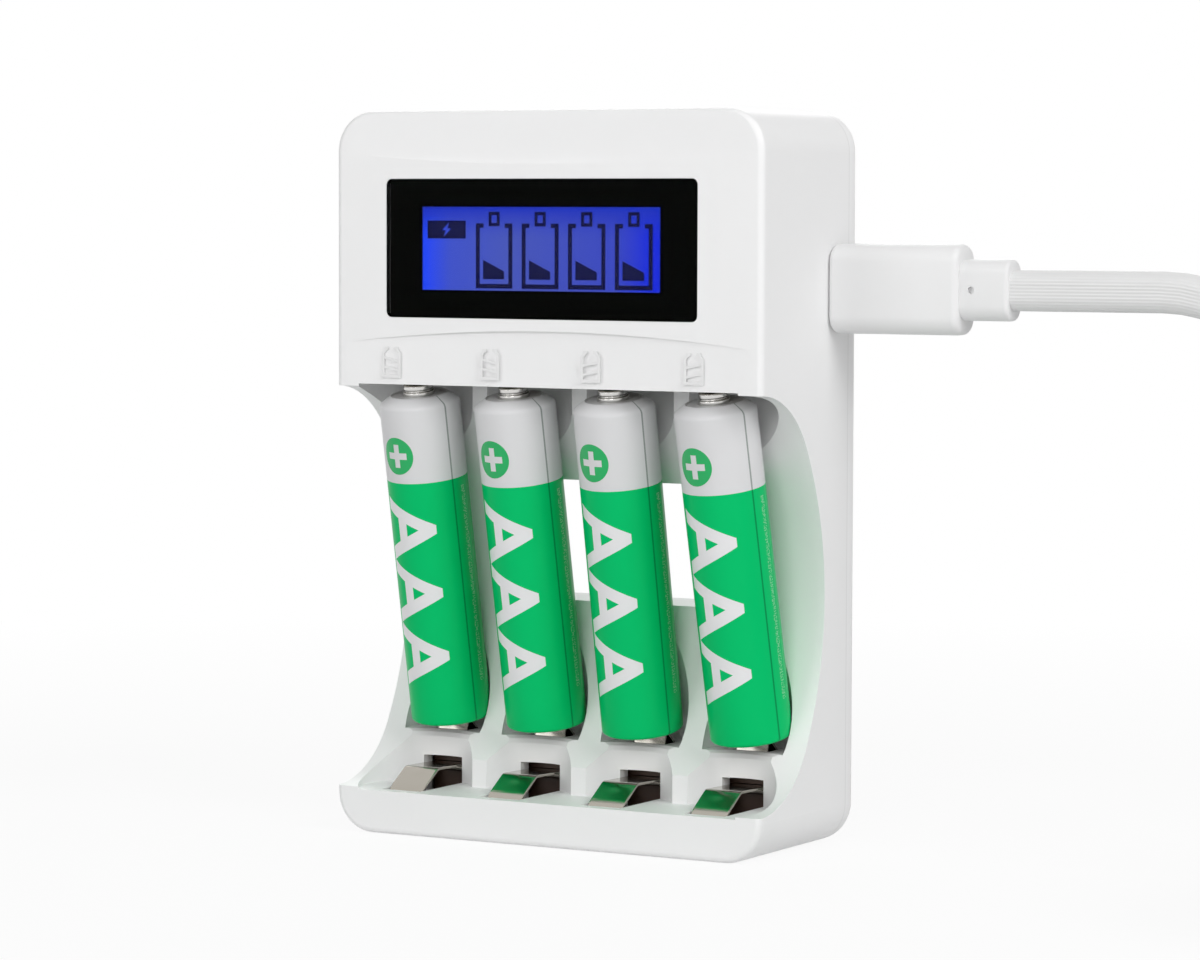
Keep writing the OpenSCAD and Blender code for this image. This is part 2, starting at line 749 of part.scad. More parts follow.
// Oval rings along a route, each square to the way the cord runs, with the tall side upright.
function heading(p, k) = unit(p[min(k + 1, len(p) - 1)] - p[max(k - 1, 0)]);
function ring(p, k, n) = let (go = heading(p, k), side = unit(cross([0, 0, 1], go)), tall = cross(go, side))
    [for (j = [0:n - 1]) p[k] + side * cord_t / 2 * cos(360 * j / n) + tall * cord_h / 2 * sin(360 * j / n)];

module swept_cord(p, n = 10) {
    last = len(p) - 1;
    rings = [for (k = [0:last]) each ring(p, k, n)];
    sides = [for (k = [0:last - 1], j = [0:n - 1])
        [k * n + j, (k + 1) * n + j, (k + 1) * n + (j + 1) % n, k * n + (j + 1) % n]];
    start_cap = [[for (j = [0:n - 1]) j]];
    end_cap = [[for (j = [n - 1:-1:0]) last * n + j]];
    polyhedron(points = rings, faces = concat(sides, start_cap, end_cap));
}

module usb_cord() {
    color([0.95, 0.95, 0.95]) swept_cord(route);
}

module usb_cord_coil() {
    color([0.95, 0.95, 0.95]) translate([coil_x, coil_y, 0]) rotate_extrude()
        translate([coil_r - cord_t / 2, 0]) square([cord_t, coil_h]);
}

module usb_cord_tail() {
    color([0.95, 0.95, 0.95]) swept_cord(tail);
}

module cord_tie() {
    span = cord_t + 2 * tie_room;
    color([0.2, 0.2, 0.2]) translate([coil_x + coil_r - span / 2, coil_y - tie_w / 2, 0])
        difference() {
            translate([-tie_t, 0, 0]) cube([span + 2 * tie_t, tie_w, coil_h + tie_t]);
            translate([0, -1, -1]) cube([span, tie_w + 2, coil_h + 1 + eps]);
        }
}

module usb_a_grip() {
    color([0.95, 0.95, 0.95]) translate([usb_a_x, tail_y, usb_a_z]) rotate([0, 90, 0]) {
        linear_extrude(usb_a_boot) stadium(cord_h + boot_room, cord_t + boot_room);
        translate([0, 0, usb_a_boot]) linear_extrude(usb_a_body[0])
            rounded_rect(usb_a_body[2], usb_a_body[1], usb_a_body[2] / 4);
    }
}

module usb_a_shell() {
    sheet = 0.4;
    color([0.75, 0.75, 0.77]) translate([usb_a_x + usb_a_boot + usb_a_body[0], tail_y, usb_a_z])
        rotate([0, 90, 0]) difference() {
            linear_extrude(usb_a_shell[0]) square([usb_a_shell[2], usb_a_shell[1]], center = true);
            translate([-usb_a_shell[2] / 2 + sheet + 1.6, -usb_a_shell[1] / 2 + sheet, 2])
                cube([usb_a_shell[2] - 2 * sheet - 1.6, usb_a_shell[1] - 2 * sheet, usb_a_shell[0]]);
        }
}

front_case();
rear_cover();
display_lens();
display_mask();
lcd_panel();
lcd_backlight();
lcd_connector();
display_board();
main_board();
controller_chip();
charge_transistors();
capacitors();
usb_socket();
lower_board();
contact_carrier();
link_wires();
case_screws();
positive_contact(0);  // positive_contact_1
positive_contact(1);  // positive_contact_2
positive_contact(2);  // positive_contact_3
positive_contact(3);  // positive_contact_4
aa_contact(0);  // aa_contact_1
aa_contact(1);  // aa_contact_2
aa_contact(2);  // aa_contact_3
aa_contact(3);  // aa_contact_4
aaa_contact(0);  // aaa_contact_1
aaa_contact(1);  // aaa_contact_2
aaa_contact(2);  // aaa_contact_3
aaa_contact(3);  // aaa_contact_4
cell_can(0);  // cell_can_1
cell_can(1);  // cell_can_2
cell_can(2);  // cell_can_3
cell_can(3);  // cell_can_4
cell_sleeve(0);  // cell_sleeve_1
cell_sleeve(1);  // cell_sleeve_2
cell_sleeve(2);  // cell_sleeve_3
cell_sleeve(3);  // cell_sleeve_4
usb_plug_tongue();
usb_plug_grip();
cord_collar();
usb_cord();
usb_cord_coil();
usb_cord_tail();
cord_tie();
usb_a_grip();
usb_a_shell();
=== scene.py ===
import math
import bmesh
import bpy
from mathutils import Matrix, Vector


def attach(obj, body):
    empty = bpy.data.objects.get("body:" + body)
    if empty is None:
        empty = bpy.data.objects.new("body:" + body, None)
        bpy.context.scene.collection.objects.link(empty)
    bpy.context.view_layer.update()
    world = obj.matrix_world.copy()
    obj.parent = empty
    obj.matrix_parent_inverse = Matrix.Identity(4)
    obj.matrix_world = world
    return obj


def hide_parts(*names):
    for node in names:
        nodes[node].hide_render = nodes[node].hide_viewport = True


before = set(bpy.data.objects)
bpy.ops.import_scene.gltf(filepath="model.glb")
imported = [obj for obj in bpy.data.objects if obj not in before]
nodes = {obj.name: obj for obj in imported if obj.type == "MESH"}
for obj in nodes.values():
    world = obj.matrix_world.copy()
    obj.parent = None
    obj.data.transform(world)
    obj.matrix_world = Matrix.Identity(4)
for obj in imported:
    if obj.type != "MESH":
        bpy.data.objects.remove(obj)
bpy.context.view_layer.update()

# The table and the light: a pale seamless floor under an even white surround, with soft boxes at the
# front, at both sides and behind, as for a catalogue photograph. The camera stands to the right of the
# charger, a little above its middle, with a long lens.
mm = 0.001
scene = bpy.context.scene
scene.view_settings.view_transform = "Standard"
case_depth = 26.5 * mm
front_y = -case_depth / 2
camera_yaw, camera_pitch, camera_roll = (math.radians(a) for a in (29.82, 3.54, -0.17))
camera_offset = Vector((-7.183, 45.756, 534.607)) * mm
camera_lens = 128.97


def camera_axes():
    level = Vector((-math.sin(camera_yaw), math.cos(camera_yaw), 0))
    across = Vector((math.cos(camera_yaw), math.sin(camera_yaw), 0))
    ahead = math.cos(camera_pitch) * level - math.sin(camera_pitch) * Vector((0, 0, 1))
    down = -math.sin(camera_pitch) * level - math.cos(camera_pitch) * Vector((0, 0, 1))
    right = math.cos(camera_roll) * across + math.sin(camera_roll) * down
    below = -math.sin(camera_roll) * across + math.cos(camera_roll) * down
    return right, below, ahead


right, below, ahead = camera_axes()
camera_data = bpy.data.cameras.new("camera")
camera_data.lens = camera_lens
camera_data.sensor_width = 36
camera_data.clip_start = 0.01
camera = bpy.data.objects.new("camera", camera_data)
scene.collection.objects.link(camera)
camera_place = Matrix((right, -below, -ahead)).transposed().to_4x4()
stand = -(right * camera_offset.x + below * camera_offset.y + ahead * camera_offset.z)
camera_place.translation = stand + Vector((0, front_y, 0))
camera.matrix_world = camera_place
scene.camera = camera


def new_tree(material_name):
    material = bpy.data.materials.new(material_name)
    material.use_nodes = True
    tree = material.node_tree
    tree.nodes.clear()
    return material, tree


def calculate(tree, operation, first, second=None, third=None):
    node = tree.nodes.new("ShaderNodeMath")
    node.operation = operation
    for socket, value in zip(node.inputs, (first, second, third)):
        if isinstance(value, (int, float)):
            socket.default_value = value
        elif value is not None:
            tree.links.new(value, socket)
    return node.outputs[0]


def mapped(tree, value, start, stop, low=0, high=1):
    node = tree.nodes.new("ShaderNodeMapRange")
    tree.links.new(value, node.inputs["Value"])
    node.inputs["From Min"].default_value = start
    node.inputs["From Max"].default_value = stop
    node.inputs["To Min"].default_value = low
    node.inputs["To Max"].default_value = high
    return node.outputs[0]


def blended(tree, share, first, second):
    node = tree.nodes.new("ShaderNodeMixShader")
    for socket, source in zip(node.inputs, (share, first.outputs[0], second.outputs[0])):
        tree.links.new(source, socket)
    return node


def put_out(tree, shader, output="ShaderNodeOutputMaterial"):
    tree.links.new(shader.outputs[0], tree.nodes.new(output).inputs[0])


def seen_directly(tree):
    path = tree.nodes.new("ShaderNodeLightPath")
    mirrored = calculate(tree, "MAXIMUM", path.outputs["Is Glossy Ray"], path.outputs["Is Transmission Ray"])
    return calculate(tree, "MAXIMUM", path.outputs["Is Camera Ray"], mirrored)


floor_white = 0.82
floor_glow_near, floor_glow_far = 0.92, 1
floor_near, floor_far = 0.1, 0.3
bpy.ops.object.select_all(action="DESELECT")
bpy.ops.mesh.primitive_plane_add(size=6, location=(0, 0, -0.1 * mm))
floor = bpy.context.object
floor.name = "floor"
floor_paint, tree = new_tree("floor_paint")
matt = tree.nodes.new("ShaderNodeBsdfDiffuse")
matt.inputs["Color"].default_value = (floor_white, floor_white, floor_white, 1)
glow = tree.nodes.new("ShaderNodeEmission")
glow.inputs["Strength"].default_value = 1
place = tree.nodes.new("ShaderNodeTexCoord")
distance = tree.nodes.new("ShaderNodeVectorMath")
distance.operation = "LENGTH"
tree.links.new(place.outputs["Object"], distance.inputs[0])
from_middle = distance.outputs["Value"]
whiteness = mapped(tree, from_middle, floor_near, floor_far, floor_glow_near, floor_glow_far)
share = calculate(tree, "MULTIPLY", seen_directly(tree), whiteness)
put_out(tree, blended(tree, share, matt, glow))
floor.data.materials.append(floor_paint)

surround = bpy.data.worlds.new("surround")
scene.world = surround
surround.use_nodes = True
tree = surround.node_tree
tree.nodes.clear()
light_part = tree.nodes.new("ShaderNodeBackground")
light_part.inputs["Color"].default_value = (1, 1, 1, 1)
light_part.inputs["Strength"].default_value = 0.25
seen_part = tree.nodes.new("ShaderNodeBackground")
seen_part.inputs["Color"].default_value = (1, 1, 1, 1)
put_out(tree, blended(tree, seen_directly(tree), light_part, seen_part), "ShaderNodeOutputWorld")

box_aim = Vector((0, 0, 0.05))
for name, spot, width, height, power in (
    ("left_box", (-0.42, -0.9, 0.38), 0.4, 0.6, 1.7),
    ("front_box", (0.25, -0.85, 0.42), 0.4, 0.6, 2.65),
    ("side_box", (0.75, -0.25, 0.6), 0.5, 0.5, 4.3),
    ("rear_box", (-0.5, 0.9, 0.6), 0.6, 0.6, 2.4),
):
    lamp = bpy.data.lights.new(name, "AREA")
    lamp.shape = "RECTANGLE"
    lamp.size = width
    lamp.size_y = height
    lamp.energy = power
    box = bpy.data.objects.new(name, lamp)
    scene.collection.objects.link(box)
    box.location = spot
    box.rotation_euler = (box_aim - Vector(spot)).to_track_quat("-Z", "Y").to_euler()

# The moulded housing: a front shell with four stepped bays under a hood, and a rear cover that closes it.
# Both are moulded in white plastic with a fine satin texture, and a faint line shows where they meet.


def select_only(piece):
    bpy.ops.object.select_all(action="DESELECT")
    piece.select_set(True)
    bpy.context.view_layer.objects.active = piece


def new_piece(name, data):
    piece = bpy.data.objects.new(name, data)
    scene.collection.objects.link(piece)
    select_only(piece)
    return piece


def apply_modifier(piece, kind, **settings):
    select_only(piece)
    modifier = piece.modifiers.new(kind.lower(), kind)
    for key, value in settings.items():
        setattr(modifier, key, value)
    bpy.ops.object.modifier_apply(modifier=modifier.name)


def smooth(piece, degrees=35):
    select_only(piece)
    bpy.ops.object.shade_smooth_by_angle(angle=math.radians(degrees))


def settle(piece, matrix):
    piece.matrix_world = matrix
    select_only(piece)
    bpy.ops.object.transform_apply(location=True, rotation=True, scale=True)
    return piece


def flat_shape(name, outlines, thickness):
    curve = bpy.data.curves.new(name, "CURVE")
    curve.dimensions = "2D"
    curve.fill_mode = "BOTH"
    curve.extrude = thickness / mm / 2
    for outline in outlines:
        spline = curve.splines.new("POLY")
        spline.points.add(len(outline) - 1)
        for point, (x, y) in zip(spline.points, outline):
            point.co = (x / mm, y / mm, 0, 1)
        spline.use_cyclic_u = True
    piece = new_piece(name, curve)
    bpy.ops.object.convert(target="MESH")
    smooth(piece)
    return settle(piece, Matrix.Scale(mm, 4))


def facing_front(place):
    return Matrix.Translation(place) @ Matrix.Rotation(math.pi / 2, 4, "X")


def grain_group():
    group = bpy.data.node_groups.new("moulded_grain", "ShaderNodeTree")
    for name, way, kind in (
        ("Colour", "INPUT", "Color"),
        ("Grain scale", "INPUT", "Float"),
        ("Shade", "INPUT", "Float"),
        ("Roughness", "INPUT", "Float"),
        ("Colour", "OUTPUT", "Color"),
        ("Roughness", "OUTPUT", "Float"),
        ("Height", "OUTPUT", "Float"),
    ):
        group.interface.new_socket(name, in_out=way, socket_type="NodeSocket" + kind)
    start = group.nodes.new("NodeGroupInput")
    end = group.nodes.new("NodeGroupOutput")
    place = group.nodes.new("ShaderNodeTexCoord")
    grain = group.nodes.new("ShaderNodeTexNoise")
    grain.inputs["Detail"].default_value = 3
    cloud = group.nodes.new("ShaderNodeTexNoise")
    cloud.inputs["Scale"].default_value = 60
    for texture in (grain, cloud):
        group.links.new(place.outputs["Object"], texture.inputs["Vector"])
    group.links.new(start.outputs["Grain scale"], grain.inputs["Scale"])
    swing = calculate(group, "SUBTRACT", cloud.outputs["Fac"], 0.5)
    shade = calculate(group, "MULTIPLY_ADD", swing, start.outputs["Shade"], 1)
    tint = group.nodes.new("ShaderNodeVectorMath")
    tint.operation = "SCALE"
    group.links.new(start.outputs["Colour"], tint.inputs[0])
    group.links.new(shade, tint.inputs["Scale"])
    rough_swing = 0.12
    rough = calculate(group, "MULTIPLY_ADD", swing, rough_swing, start.outputs["Roughness"])
    group.links.new(tint.outputs[0], end.inputs["Colour"])
    group.links.new(rough, end.inputs["Roughness"])
    group.links.new(grain.outputs["Fac"], end.inputs["Height"])
    return group


moulded_grain = grain_group()


def emboss(tree, shader, height, strength, distance):
    relief = tree.nodes.new("ShaderNodeBump")
    relief.inputs["Strength"].default_value = strength
    relief.inputs["Distance"].default_value = distance
    tree.links.new(height, relief.inputs["Height"])
    tree.links.new(relief.outputs[0], shader.inputs["Normal"])


def grained(name, colour, roughness, grain, shade, bump, metallic=0.0, **sockets):
    material, tree = new_tree(name)
    shader = tree.nodes.new("ShaderNodeBsdfPrincipled")
    shader.inputs["Metallic"].default_value = metallic
    for socket, value in sockets.items():
        shader.inputs[socket.replace("_", " ")].default_value = value
    effect = tree.nodes.new("ShaderNodeGroup")
    effect.node_tree = moulded_grain
    effect.inputs["Colour"].default_value = (*colour, 1)
    effect.inputs["Grain scale"].default_value = grain
    effect.inputs["Shade"].default_value = shade
    effect.inputs["Roughness"].default_value = roughness
    tree.links.new(effect.outputs["Colour"], shader.inputs["Base Color"])
    tree.links.new(effect.outputs["Roughness"], shader.inputs["Roughness"])
    emboss(tree, shader, effect.outputs["Height"], bump, 0.05 * mm)
    put_out(tree, shader)
    return material


def object_axes(tree):
    place = tree.nodes.new("ShaderNodeTexCoord")
    parts = tree.nodes.new("ShaderNodeSeparateXYZ")
    tree.links.new(place.outputs["Object"], parts.inputs[0])
    return parts.outputs


def mixed(tree, mask, first, second):
    node = tree.nodes.new("ShaderNodeMix")
    node.data_type = "RGBA"
    tree.links.new(mask, node.inputs["Factor"])
    for socket, value in (("A", first), ("B", second)):
        if isinstance(value, tuple):
            node.inputs[socket].default_value = (*value, 1)
        else:
            tree.links.new(value, node.inputs[socket])
    return node.outputs["Result"]


def paint(piece, material):
    piece.data.materials.clear()
    piece.data.materials.append(material)
    for face in piece.data.polygons:
        face.material_index = 0


case_white = grained("case_white", (0.86, 0.86, 0.862), 0.42, 1400, 0.02, 0.05)
cover_depth = 3.5 * mm
parting_y = front_y + case_depth - cover_depth
parting_half = 0.12 * mm
parting_share = 0.3
parting_grey = (0.6, 0.6, 0.6)
tree = case_white.node_tree
shader = tree.nodes["Principled BSDF"]
plain_white = shader.inputs["Base Color"].links[0].from_socket
parting_line = calculate(tree, "COMPARE", object_axes(tree)["Y"], parting_y, parting_half)
line_share = calculate(tree, "MULTIPLY", parting_line, parting_share)
tree.links.new(mixed(tree, line_share, plain_white, parting_grey), shader.inputs["Base Color"])
for node in ("front_case", "rear_cover"):
    paint(nodes[node], case_white)

# The cell signs over the bays: fine lines raised on the hood by the mould, each the outline of a cell
# with two slanting stripes, in the housing's own plastic, coloured a little darker as painted shade.
hood_sign_w, hood_sign_h = 2.8 * mm, 3.9 * mm
hood_sign_line = 0.4 * mm
hood_sign_low = 58.02 * mm
hood_sign_pitch = 14.46 * mm
hood_sign_middle = -0.57 * mm
hood_sign_depth = 0.02 * mm
stripe_t = 0.3 * mm
stripe_high, stripe_low = 2.3 * mm, 1.16 * mm
stripe_fall = 0.22 * mm


def hood_sign(x, slant):
    half, inner = hood_sign_w / 2, hood_sign_w / 2 - hood_sign_line
    fall = slant * stripe_fall
    high_left, high_right = stripe_high + fall, stripe_high - fall
    low_left, low_right = stripe_low + fall, stripe_low - fall
    t = stripe_t / 2
    side = [(half, 0), (half, 3.2 * mm), (1.08 * mm, 3.52 * mm), (1 * mm, hood_sign_h),
            (0.4 * mm, hood_sign_h), (0.4 * mm, 3.6 * mm), (0.7 * mm, 3.45 * mm), (inner, 3.1 * mm)]
    other_side = [(-u, v) for u, v in side[::-1]]
    shell = side + [(inner, high_right + t), (-inner, high_left + t)] + other_side
    middle = [(-inner, low_left + t), (inner, low_right + t),
              (inner, high_right - t), (-inner, high_left - t)]
    foot = [(-inner, hood_sign_line), (inner, hood_sign_line),
            (inner, low_right - t), (-inner, low_left - t)]
    return [[(x + px, pz) for px, pz in outline] for outline in (shell, middle, foot)]


outlines = []
for i, slant in enumerate((1, 1, -1, -1)):
    outlines += hood_sign(hood_sign_middle + (i - 1.5) * hood_sign_pitch, slant)
signs = flat_shape("hood_signs", outlines, 4 * hood_sign_depth)
settle(signs, facing_front((0, front_y + hood_sign_depth, hood_sign_low)))
# Painted shade: the housing white is darkened so that the moulded lines read as shaded lines.
sign_painted_shade = grained("sign_painted_shade", (0.79, 0.79, 0.792), 0.5, 1400, 0.02, 0.05)
paint(signs, sign_painted_shade)
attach(signs, "charger")

# The screws that hold the cover: four cross-headed screws in sunk seats at the back, of plated steel
# with a dull, slightly uneven shine.
screw_steel = grained("screw_steel", (0.5, 0.5, 0.52), 0.32, 900, 0.3, 0.1, metallic=1.0)
paint(nodes["case_screws"], screw_steel)

# What the housing hides: the boards with their chip, transistors and capacitors, the socket, the wires
# and the bar that carries the sprung contacts.
board_green = grained("board_green", (0.02, 0.16, 0.06), 0.35, 500, 0.5, 0.1)
board_brown = grained("board_brown", (0.2, 0.1, 0.04), 0.6, 300, 0.5, 0.15)
part_black = grained("part_black", (0.02, 0.02, 0.021), 0.5, 900, 0.3, 0.1)
# The carrier bar's black is tinted brown: a painted reflection of the brown board seen in the slots behind
# the contacts.
bar_brown_reflection = grained("bar_brown_reflection", (0.06, 0.028, 0.016), 0.5, 900, 0.3, 0.1)
capacitor_can = grained("capacitor_can", (0.35, 0.35, 0.38), 0.35, 300, 0.2, 0.05, metallic=1.0)
plated_steel = grained("plated_steel", (0.62, 0.62, 0.64), 0.25, 700, 0.15, 0.05, metallic=1.0)
wire_red = grained("wire_red", (0.45, 0.03, 0.025), 0.45, 400, 0.2, 0.05)
for material, names in (
    (board_green, ("display_board", "main_board")),
    (board_brown, ("lower_board",)),
    (part_black, ("controller_chip", "charge_transistors")),
    (bar_brown_reflection, ("contact_carrier",)),
    (capacitor_can, ("capacitors",)),
    (plated_steel, ("usb_socket", "usb_plug_tongue")),
    (wire_red, ("link_wires",)),
):
    for name in names:
        paint(nodes[name], material)

# The display: a clear lens flush with the hood, black ink round its edge and behind it round the lit
# window, and a blue liquid-crystal panel on its light guide, joined to its board by a rubber strip.
lens_z = 74.35 * mm
window_x = -1.1 * mm
window_w = 34.2 * mm
window_h = 10.4 * mm
panel_y = front_y + 2 * mm
mask_ink = grained("mask_ink", (0.006, 0.006, 0.0065), 0.4, 800, 0.3, 0.02, Specular_IOR_Level=0.02)
paint(nodes["display_mask"], mask_ink)
light_guide = grained("light_guide", (0.75, 0.82, 0.9), 0.3, 300, 0.05, 0.02)
paint(nodes["lcd_backlight"], light_guide)
connector_rubber = grained("connector_rubber", (0.4, 0.1, 0.18), 0.6, 500, 0.3, 0.1)
paint(nodes["lcd_connector"], connector_rubber)


def object_noise(tree, scale):
    place = tree.nodes.new("ShaderNodeTexCoord")
    texture = tree.nodes.new("ShaderNodeTexNoise")
    texture.inputs["Scale"].default_value = scale
    tree.links.new(place.outputs["Object"], texture.inputs["Vector"])
    return texture.outputs["Fac"]


lens_glass, tree = new_tree("lens_glass")
shader = tree.nodes.new("ShaderNodeBsdfPrincipled")
shader.inputs["Base Color"].default_value = (1, 1, 1, 1)
shader.inputs["Transmission Weight"].default_value = 1
shader.inputs["IOR"].default_value = 1.12
lens_haze = 0.012
smudge_scale = 90
smudges = mapped(tree, object_noise(tree, smudge_scale), 0, 1, 0, lens_haze)
tree.links.new(smudges, shader.inputs["Roughness"])
put_out(tree, shader)
paint(nodes["display_lens"], lens_glass)


def round_cornered(width, height, radius, steps):
    outline = []
    for quarter, (across, up) in enumerate(((1, 1), (-1, 1), (-1, -1), (1, -1))):
        for step in range(steps + 1):
            angle = (quarter + step / steps) * math.pi / 2
            x = across * (width / 2 - radius) + radius * math.cos(angle)
            z = up * (height / 2 - radius) + radius * math.sin(angle)
            outline.append((x, z))
    return outline


lens_x = -0.7 * mm
lens_w = 44.4 * mm
lens_h = 17.2 * mm
lens_corner = 0.7 * mm
edge_front = 0.06 * mm
edge_depth = 0.8 * mm
rings = []
for spread in (0.14 * mm, 0.02 * mm):
    rings.append(round_cornered(lens_w + spread, lens_h + spread, lens_corner + spread / 2, 6))
lens_edge = flat_shape("lens_edge_ink", rings, edge_depth)
settle(lens_edge, facing_front((lens_x, front_y + edge_front + edge_depth / 2, lens_z)))
paint(lens_edge, mask_ink)
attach(lens_edge, "charger")

panel_blue, tree = new_tree("panel_blue")
shader = tree.nodes.new("ShaderNodeBsdfPrincipled")
shader.inputs["Base Color"].default_value = (0.005, 0.008, 0.03, 1)
shader.inputs["Specular IOR Level"].default_value = 0
shader.inputs["Roughness"].default_value = 0.4
shader.inputs["Emission Strength"].default_value = 1
axes = object_axes(tree)
across = mapped(tree, axes["X"], window_x - window_w / 2, window_x + window_w / 2)
glow_across = tree.nodes.new("ShaderNodeValToRGB")
bands = glow_across.color_ramp
bands.elements[0].position = 0.0
bands.elements[0].color = (0.012, 0.055, 0.85, 1)
bands.elements[1].position = 1.0
bands.elements[1].color = (0.002, 0.012, 0.64, 1)
for position, colour in (
    (0.1, (0.042, 0.073, 0.54, 1)),
    (0.35, (0.056, 0.083, 0.435, 1)),
    (0.8, (0.035, 0.055, 0.48, 1)),
    (0.93, (0.004, 0.018, 0.64, 1)),
):
    stop = bands.elements.new(position)
    stop.color = colour
tree.links.new(across, glow_across.inputs[0])
shade_from = lens_z + 1.5 * mm
top_blue = (0.008, 0.025, 0.46)
upward = mapped(tree, axes["Z"], shade_from, lens_z + window_h / 2)
panel_glow = mixed(tree, upward, glow_across.outputs[0], top_blue)
tree.links.new(panel_glow, shader.inputs["Emission Color"])
put_out(tree, shader)
paint(nodes["lcd_panel"], panel_blue)

# The signs on the panel: four cell outlines with a part charge in each, and a small bolt in a dark
# field. They are liquid-crystal segments, so they lie flat on the panel's glass.
sign_line = 0.56 * mm
sign_w = 5.3 * mm
sign_h = 8.1 * mm
sign_pitch = 6.66 * mm
sign_left = -10.9 * mm
sign_low = lens_z - 4.95 * mm
sign_gap = 0.74 * mm
sign_cap_w = 1.6 * mm
sign_cap_h = 1.8 * mm
sign_cap_line = 0.42 * mm
sign_cap_sink = 0.36 * mm
sign_t = 0.03 * mm
charge_x, charge_z = 1.06 * mm, 1.15 * mm
charge_gap = 1.2 * mm
charge_left_h, charge_right_h = 2.4 * mm, 0.98 * mm


def boxed(x, z, width, height):
    return [(x, z), (x + width, z), (x + width, z + height), (x, z + height)]


def cell_sign(x):
    w, h, t = sign_w, sign_h, sign_line
    stub = (w - sign_cap_w) / 2 - sign_gap
    shell = [(0, 0), (w, 0), (w, h), (w - stub, h), (w - stub, h - t), (w - t, h - t), (w - t, t),
             (t, t), (t, h - t), (stub, h - t), (stub, h), (0, h)]
    cap_x = (w - sign_cap_w) / 2
    cap_z = h - sign_cap_sink
    cap = boxed(cap_x, cap_z, sign_cap_w, sign_cap_h)
    t = sign_cap_line
    hole = boxed(cap_x + t, cap_z + t, sign_cap_w - 2 * t, sign_cap_h - 2 * t)
    charge = [(charge_x, charge_z), (w - charge_gap, charge_z), (w - charge_gap, charge_z + charge_right_h),
              (charge_x, charge_z + charge_left_h)]
    return [[(x + px, pz) for px, pz in outline] for outline in (shell, cap, hole, charge)]


field_w, field_h = 5.6 * mm, 2.25 * mm
field_x, field_z = -18 * mm - sign_left, 6.18 * mm
bolt = [(0.36, 0.1), (0.46, 0.46), (0.28, 0.46), (0.62, 0.92), (0.53, 0.56), (0.72, 0.56)]
bolt_w = 3.2 * mm
bolt_x = field_x + field_w / 2 - bolt_w / 2
bolt_outline = [(bolt_x + bolt_w * u, field_z + field_h * v) for u, v in bolt]
outlines = [boxed(field_x, field_z, field_w, field_h), bolt_outline]
for i in range(4):
    outlines += cell_sign(i * sign_pitch)
signs = flat_shape("lcd_signs", outlines, sign_t)
settle(signs, facing_front((sign_left, panel_y - sign_t, sign_low)))
sign_ink = grained("sign_ink", (0.003, 0.004, 0.045), 0.4, 500, 0.2, 0.02, Specular_IOR_Level=0.02)
paint(signs, sign_ink)
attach(signs, "charger")

# The spring contacts: strips cut from nickel-plated spring steel, rolled at the root, bent over at a fold
# and sloped down at the front, with a pressed dimple below the fold that meets the cell.
strip_t = 0.3 * mm
roll_r = 0.6 * mm
pitch = 14.6 * mm
aa_root, aa_fold, aa_tip = (Vector(p) * mm for p in ((14.8, 7.2), (6.8, 8.0), (2.4, 5.2)))
aaa_root, aaa_fold, aaa_tip = (Vector(p) * mm for p in ((19.0, 9.54), (14.6, 14.087), (14.05, 11.54)))
roll_turn = math.radians(260)
roll_steps = 20
fold_reach = 0.45 * mm
foot_bend = math.radians(17)
foot_reach = 0.6 * mm
dimple_w, dimple_h = 1 * mm, 0.75 * mm
dimple_down = 1.05 * mm
dimple_reach = 0.5 * mm


def rounded_turn(corner, before, after, reach, steps=8):
    start, stop = corner - before * reach, corner + after * reach
    points = []
    for k in range(steps + 1):
        t = k / steps
        points.append((1 - t) ** 2 * start + 2 * t * (1 - t) * corner + t * t * stop)
    return points


def between_points(start, stop, steps):
    return [start.lerp(stop, k / steps) for k in range(1, steps)]


def strip_path(root, fold, tip, foot):
    inward = (fold - root).normalized()
    flap = (tip - fold).normalized()
    lift = Vector((inward.y, -inward.x))
    if lift.y < 0:
        lift = -lift
    top = math.atan2(lift.y, lift.x)
    angles = [top - roll_turn * (1 - k / roll_steps) for k in range(roll_steps + 1)]
    path = [root + roll_r * Vector((math.cos(a), math.sin(a))) for a in angles]
    turn = rounded_turn(fold, inward, flap, fold_reach)
    path += between_points(path[-1], turn[0], 8) + turn
    if foot:
        knee = tip - flap * foot
        c, n = math.cos(foot_bend), math.sin(foot_bend)
        down = Vector((flap.x * c - flap.y * n, flap.x * n + flap.y * c))
        bend = rounded_turn(knee, flap, down, foot_reach)
        path += between_points(path[-1], bend[0], 16) + bend
        path += between_points(path[-1], knee + down * foot, 5) + [knee + down * foot]
    else:
        path += between_points(path[-1], tip, 12) + [tip]
    return path


def edited_mesh(name, verts, edges, faces):
    mesh = bpy.data.meshes.new(name)
    mesh.from_pydata(verts, edges, faces)
    piece = new_piece(name, mesh)
    bpy.ops.object.mode_set(mode="EDIT")
    bpy.ops.mesh.select_all(action="SELECT")
    return piece


def close_edit():
    bpy.ops.mesh.select_all(action="SELECT")
    bpy.ops.mesh.normals_make_consistent(inside=False)
    bpy.ops.object.mode_set(mode="OBJECT")


def chain(count):
    return [(k, k + 1) for k in range(count - 1)]


def drawn_band(name, verts, across, columns):
    band = edited_mesh(name, verts, chain(len(verts)), [])
    for k in range(columns):
        bpy.ops.mesh.extrude_region_move(TRANSFORM_OT_translate={"value": across / columns})
    close_edit()
    return band


def soften_edges(piece, width, segments):
    limit = math.radians(50)
    apply_modifier(piece, "BEVEL", width=width, segments=segments, limit_method="ANGLE", angle_limit=limit)


